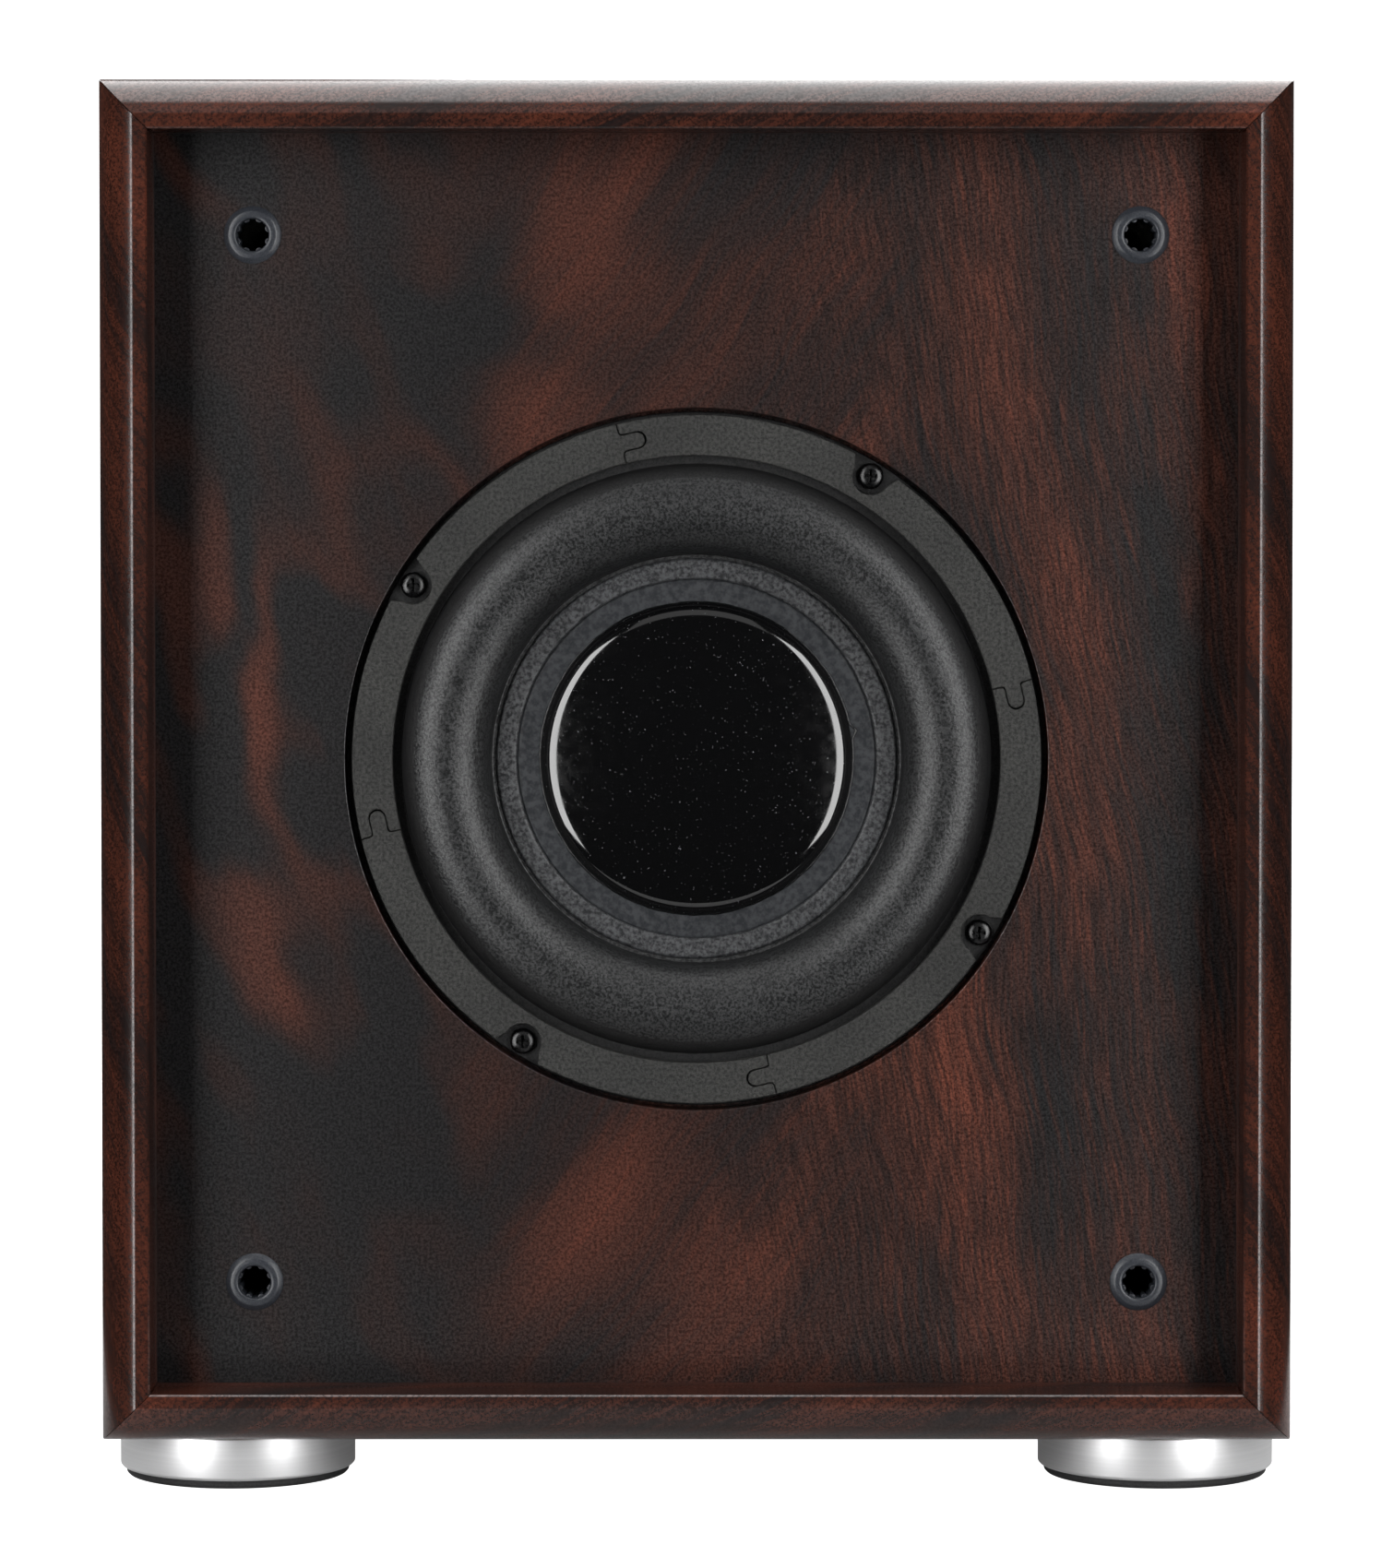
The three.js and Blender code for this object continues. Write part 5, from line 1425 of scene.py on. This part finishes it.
def make_knobs():
    """Each dial: a skirt, a fluted grip, a cap and a pale pointer line."""
    foot = PLATE + 1
    top = foot + KNOB_HEIGHT
    bore, skirt, rim = KNOB_BORE, KNOB_RADIUS, KNOB_RADIUS - 1.2
    skirt_outline = [(bore, foot), (skirt, foot), (skirt, foot + 1.8), (skirt - 1, foot + 3)]
    skirt_outline.append((bore, foot + 3))
    cap_outline = [(0, foot + 11), (rim, foot + 11), (rim, top - 0.8), (rim - 0.8, top), (0, top)]
    for name, body in DIALS.items():
        x, z = beside(name)
        hole = circle(bore, x, z, 32)
        grip = amp_plate("grip", fluted_outline(x, z), [hole], (foot + 2.5, top - 1.2))
        parts = [grip, amp_turned("skirt", skirt_outline, x, z, 96)]
        parts.append(amp_turned("cap", cap_outline, x, z, 96))
        parts = [coloured(part, PLASTIC) for part in parts]
        pointer = amp_block("pointer", (1.0, 6.5), (x, z + 4.2), (top - 0.3, top + 0.15), 0.3, 0.1)
        parts.append(coloured(pointer, INK))
        placed(joined(f"fluted_{name}", parts), name, body)


def make_sliders():
    """Each slider: a tongue behind the panel and a nub with three ridges through its slot."""
    for name, body in SLIDERS.items():
        x, z = beside(name)
        parts = [amp_block("tongue", (7, 7), (x, z), (-3.5, -1), 0.6)]
        parts.append(amp_block("nub", (4, 4), (x, z), (-1.2, PLATE + 2.6)))
        for k in (-1, 0, 1):
            place = (x + 1.2 * k, z)
            parts.append(amp_block("ridge", (0.6, 3.2), place, (PLATE + 2.4, PLATE + 3), 0.15, 0.15))
        finished(joined(f"ridged_{name}", parts), PLASTIC, "black_plastic", name, body)


def make_lamp():
    dome = [(2.5, 0.6), (2.2, 1.4), (1.2, 2.05), (0, 2.2)]
    lens = [(0, -6), (2.5, -6), *((radius, PLATE + out) for radius, out in dome)]
    lamp = amp_turned("lamp_lens", lens, *beside("standby_lamp"), 48, 0.5)
    finished(lamp, LENS, "lens", "standby_lamp")


def make_jacks():
    """Four phono jacks on one flange, with red rings on one side and white on the other."""
    x, z = beside("input_jacks")
    face = FLANGE_FACE + 2
    flange = amp_block("flange", (34, 36), (x, z), (FLANGE_FACE, face), 1.5, 0.4)
    body = amp_block("body", (29, 31), (x, z), (-14, FLANGE_FACE + 0.2))
    parts = [coloured(flange, PLASTIC), coloured(body, PLASTIC)]
    root = face - 0.2
    shell = [(2.9, root), (4.2, root), (4.2, face + 7.6), (4, face + 8), (3, face + 8), (2.9, face + 7.8)]
    core = band(1.7, 2.95, root, face + 7.2)
    tip = rod(1.65, face - 8, face - 2)
    collar = [(4.2, root), (6, root), (6, face + 0.9), (4.2, face + 1.1)]
    for side, ring in ((8, RED), (-8, WHITE)):
        for up in (-9, 9):
            for outline, material in ((shell, NICKEL), (core, ring), (tip, NICKEL), (collar, ring)):
                part = amp_turned("jack", outline, x + side, z + up, 48, 0.2)
                parts.append(coloured(part, material))
    placed(joined("phono_jacks", parts), "input_jacks")


CLIP_FACE = PLATE + 12
CLIPS = ["left_plus", "left_minus", "right_plus", "right_minus"]


def side_plate(name, section, x, width, z):
    """A plate whose outline is [y, z], standing across X, in the amplifier's places."""
    obj = plate(name, softened_loop(section, 1.0), [], -width / 2, width / 2, 0.4)
    up = PANEL_MIDDLE + z
    return rearranged(obj, lambda y, across, height: (x + across, REAR_FACE + y, up + height))


def make_clips():
    """The spring terminals: a housing with four pockets, and a lever in each."""
    x, z = beside("terminal_block")
    housing = amp_block("clip_housing", (66, 32), (x, z), (FLANGE_FACE, CLIP_FACE), 2, 0.8)
    tools = []
    for name in CLIPS:
        place = (beside(f"clip_lever_{name}")[0], z + 0.5)
        tools.append(amp_block("pocket", (13, 25), place, (CLIP_FACE - 11, CLIP_FACE + 2), 0.6, 0.2))
    housing = cut(housing, *tools)
    body = amp_block("body", (61, 27), (x, z), (-10, FLANGE_FACE))
    terminal = joined("clip_terminals", [housing, body])
    finished(terminal, PLASTIC, "black_plastic", "terminal_block")
    section = [(7.5, -11), (2.5, -11), (2.2, -3), (3.0, 2), (1.2, 7), (0.5, 11.5), (4.5, 11.5)]
    section = [(CLIP_FACE - deep, up) for deep, up in section]
    for name in CLIPS:
        node = f"clip_lever_{name}"
        lever = side_plate(f"spring_{node}", section, beside(node)[0], 12, z)
        if name.endswith("minus"):
            finished(lever, PLASTIC, "black_plastic", node, f"clip_{name}")
        else:
            finished(lever, RED, "red_plastic", node, f"clip_{name}")


def make_inlet():
    """The mains inlet, its cavity with three pins, and the fuse drawer under it."""
    x, z = beside("mains_inlet")
    outer = FLANGE_FACE + 2.5
    cavity = [(-12, -1.5), (12, -1.5), (12, 9), (8, 13.6), (-8, 13.6), (-12, 9)]
    cavity = softened_loop([(x + a, z + b) for a, b in cavity], 1.5, 4)
    holes = [cavity, rectangle(22, 8, x, z - 11, 0.4)]
    parts = [
        amp_block("face", (32, 36), (x, z), (FLANGE_FACE, outer), 2.5, 0.4, holes),
        amp_block("shell", (27, 31), (x, z), (-15.5, FLANGE_FACE), 1, 0.1, holes),
        amp_block("floor", (27, 31), (x, z), (-20, -15.4), 1, 0.1),
    ]
    parts = [coloured(part, PLASTIC) for part in parts]
    for across, up in ((-7, 5), (0, 8.6), (7, 5)):
        pin = amp_block("blade", (2, 4), (x + across, z + up), (-16, outer - 5.5), 0.3)
        parts.append(coloured(pin, NICKEL))
    placed(joined("mains_socket", parts), "mains_inlet")
    front = amp_block("drawer", (21.2, 7.2), (x, z - 11), (outer - 15, outer + 0.5))
    lip = amp_block("lip", (8, 1.4), (x, z - 8.4), (outer + 0.3, outer + 0.8), 0.4, 0.2)
    drawer = joined("drawer_with_lip", [front, lip])
    finished(drawer, PLASTIC, "black_plastic", "fuse_drawer", "fuse_tray")


def rocker_section():
    """The rocker's [y, z] outline with its hollow face, tipped to one side."""
    half, back, front, hollow, steps = 5.6, -2.5, 4.6, 0.9, 8
    section = [(back, -half), (front, -half)]
    for k in range(1, steps):
        away = 2 * k / steps - 1
        section.append((front - hollow * (1 - away**2), half * away))
    section += [(front, half), (back, half)]
    tipped = math.radians(9)
    c, n = math.cos(tipped), math.sin(tipped)
    return [(PLATE - 1 + y * c - up * n, y * n + up * c) for y, up in section]


def make_switch():
    x, z = beside("switch_frame")
    well = [rectangle(16, 13, x, z, 0.5)]
    parts = [
        amp_block("rim", (26, 20), (x, z), (FLANGE_FACE, FLANGE_FACE + 2), 1.5, 0.5, well),
        amp_block("sides", (21, 15), (x, z), (-5.7, FLANGE_FACE), 0.5, 0.1, well),
        amp_block("back", (21, 15), (x, z), (-14, -5.7), 0.5, 0.1),
    ]
    finished(joined("rocker_frame", parts), PLASTIC, "black_plastic", "switch_frame")
    rocker = side_plate("rocker_cap", rocker_section(), x, 15, z)
    finished(rocker, PLASTIC, "black_plastic", "power_rocker", "power_switch")


# ------------------------------------------------------------------ stage, camera, light
CAMERA_DISTANCE = 1700  # in front of the cabinet's front edge
CAMERA_HEIGHT = 297.3
CAMERA_TILT = 1.6  # degrees down
CAMERA_LENS = 133.9
CAMERA_SHIFT = -0.088


def make_camera():
    data = bpy.data.cameras.new("camera")
    data.lens = CAMERA_LENS
    data.sensor_width = 36
    data.shift_y = CAMERA_SHIFT
    camera = linked("camera", data)
    camera.location = Vector((0, FRONT - CAMERA_DISTANCE, CAMERA_HEIGHT)) * MM
    camera.rotation_euler = (math.radians(90 - CAMERA_TILT), 0, 0)
    bpy.context.scene.camera = camera


TABLE_RADIUS = 0.34  # metres, as are all of the stage's and the lights' sizes


def paper(name, tone, glow):
    """Matt paper that glows by itself, so that it stays evenly bright."""
    s = Surface(name)
    tone = s.between(s.noise(s.place(), 2.0, 2.0), 0.0, 1.0, tone, tone + 0.03)
    s.set(Base_Color=s.vector(tone, tone, tone), Roughness=0.9, Specular_IOR_Level=0.1)
    return s.set(Emission_Color=(1, 1, 1, 1), Emission_Strength=glow)


def stage_sheet(name, vertices, faces, material):
    mesh = bpy.data.meshes.new(name)
    mesh.from_pydata(vertices, [], faces)
    mesh.shade_smooth()
    mesh.materials.append(material)
    sheet = linked(name, mesh)
    return sheet


def make_stage():
    """A white floor with a bend up to a back wall, and a round grey table top lying just on it.

    The room in front of the object is dark, so the floor is only seen, and it is the table top
    that lights the object and shows in its gloss.
    """
    front, back, bend, height, half = -4.0, 2.2, 1.2, 4.5, 5.0
    profile = [(front, 0), (back, 0)]
    for k in range(1, 17):
        turn = math.pi / 2 * k / 16
        profile.append((back + bend * math.sin(turn), bend * (1 - math.cos(turn))))
    profile.append((back + bend, height))
    count = len(profile)
    vertices = [(x, y, z - 0.0005) for x in (-half, half) for y, z in profile]
    faces = [(k, k + 1, k + 1 + count, k + count) for k in range(count - 1)]
    floor = stage_sheet("floor", vertices, faces, paper("white_paper", 0.9, 1.1))
    floor.visible_glossy = False
    floor.visible_diffuse = False
    rim = [(x, y, 0) for x, y in circle(TABLE_RADIUS)]
    table = stage_sheet("table_top", rim, [range(len(rim))], paper("grey_paper", 0.45, 0.1))
    table.visible_camera = False
    table.visible_shadow = False


def area_light(name, place, target, size, power):
    """A softbox of that width and height, aimed at the target."""
    data = bpy.data.lights.new(name, "AREA")
    data.shape = "RECTANGLE"
    data.size, data.size_y = size
    data.energy = power
    light = linked(name, data)
    light.location = place
    aim = Vector(target) - Vector(place)
    light.rotation_euler = aim.to_track_quat("-Z", "Y").to_euler()


SIDE_DISTANCE = 1.0
SIDE_TURN = math.radians(43)  # from straight ahead of the object
SIDE_SIZE = (0.42, 1.25)
SIDE_HEIGHT = 0.36
SIDE_POWER = 11
TOP_POWER = 44
REAR_POWER = 25
GLOW_POWER = 2
ROOM_LIGHT = 0.03


def make_lights():
    driver = (0, BAFFLE_FACE * MM, MIDDLE * MM)
    ahead = driver[1] - SIDE_DISTANCE * math.cos(SIDE_TURN)
    for name, side in (("left_softbox", -1), ("right_softbox", 1)):
        place = (side * SIDE_DISTANCE * math.sin(SIDE_TURN), ahead, SIDE_HEIGHT)
        area_light(name, place, (0, driver[1], SIDE_HEIGHT), SIDE_SIZE, SIDE_POWER)
    area_light("top_softbox", (0, 0.45, 1.6), (0, 0.45, 0.2), (1.7, 2.1), TOP_POWER)
    area_light("ceiling_glow", (0, -1.3, 1.6), driver, (1.4, 0.9), GLOW_POWER)
    area_light("rear_softbox", (0.6, 2.0, 1.2), (0, 0.2, 0.2), (1.6, 1.2), REAR_POWER)
    world = bpy.data.worlds.new("studio")
    world.use_nodes = True
    colour, strength = world.node_tree.nodes["Background"].inputs[:2]
    colour.default_value = (1, 1, 1, 1)
    strength.default_value = ROOM_LIGHT
    bpy.context.scene.world = world
    bpy.context.scene.view_settings.view_transform = "Standard"


# ------------------------------------------------------------------ assembly
make_camera()
make_stage()
make_lights()
make_cabinet()
make_baffle()
make_sockets()
make_basket()
make_foam_ring()
make_driver_screws()
make_cone()
make_dust_cap()
make_glue_bead()
make_flange()
make_surround()
make_spider()
make_feet()
make_motor()
make_coil()
make_wiring()
make_wadding()
make_rear_panel()
make_amp_panel()
make_panel_marks()
make_heat_sink()
make_board()
make_transformer()
make_knobs()
make_sliders()
make_lamp()
make_jacks()
make_clips()
make_inlet()
make_switch()
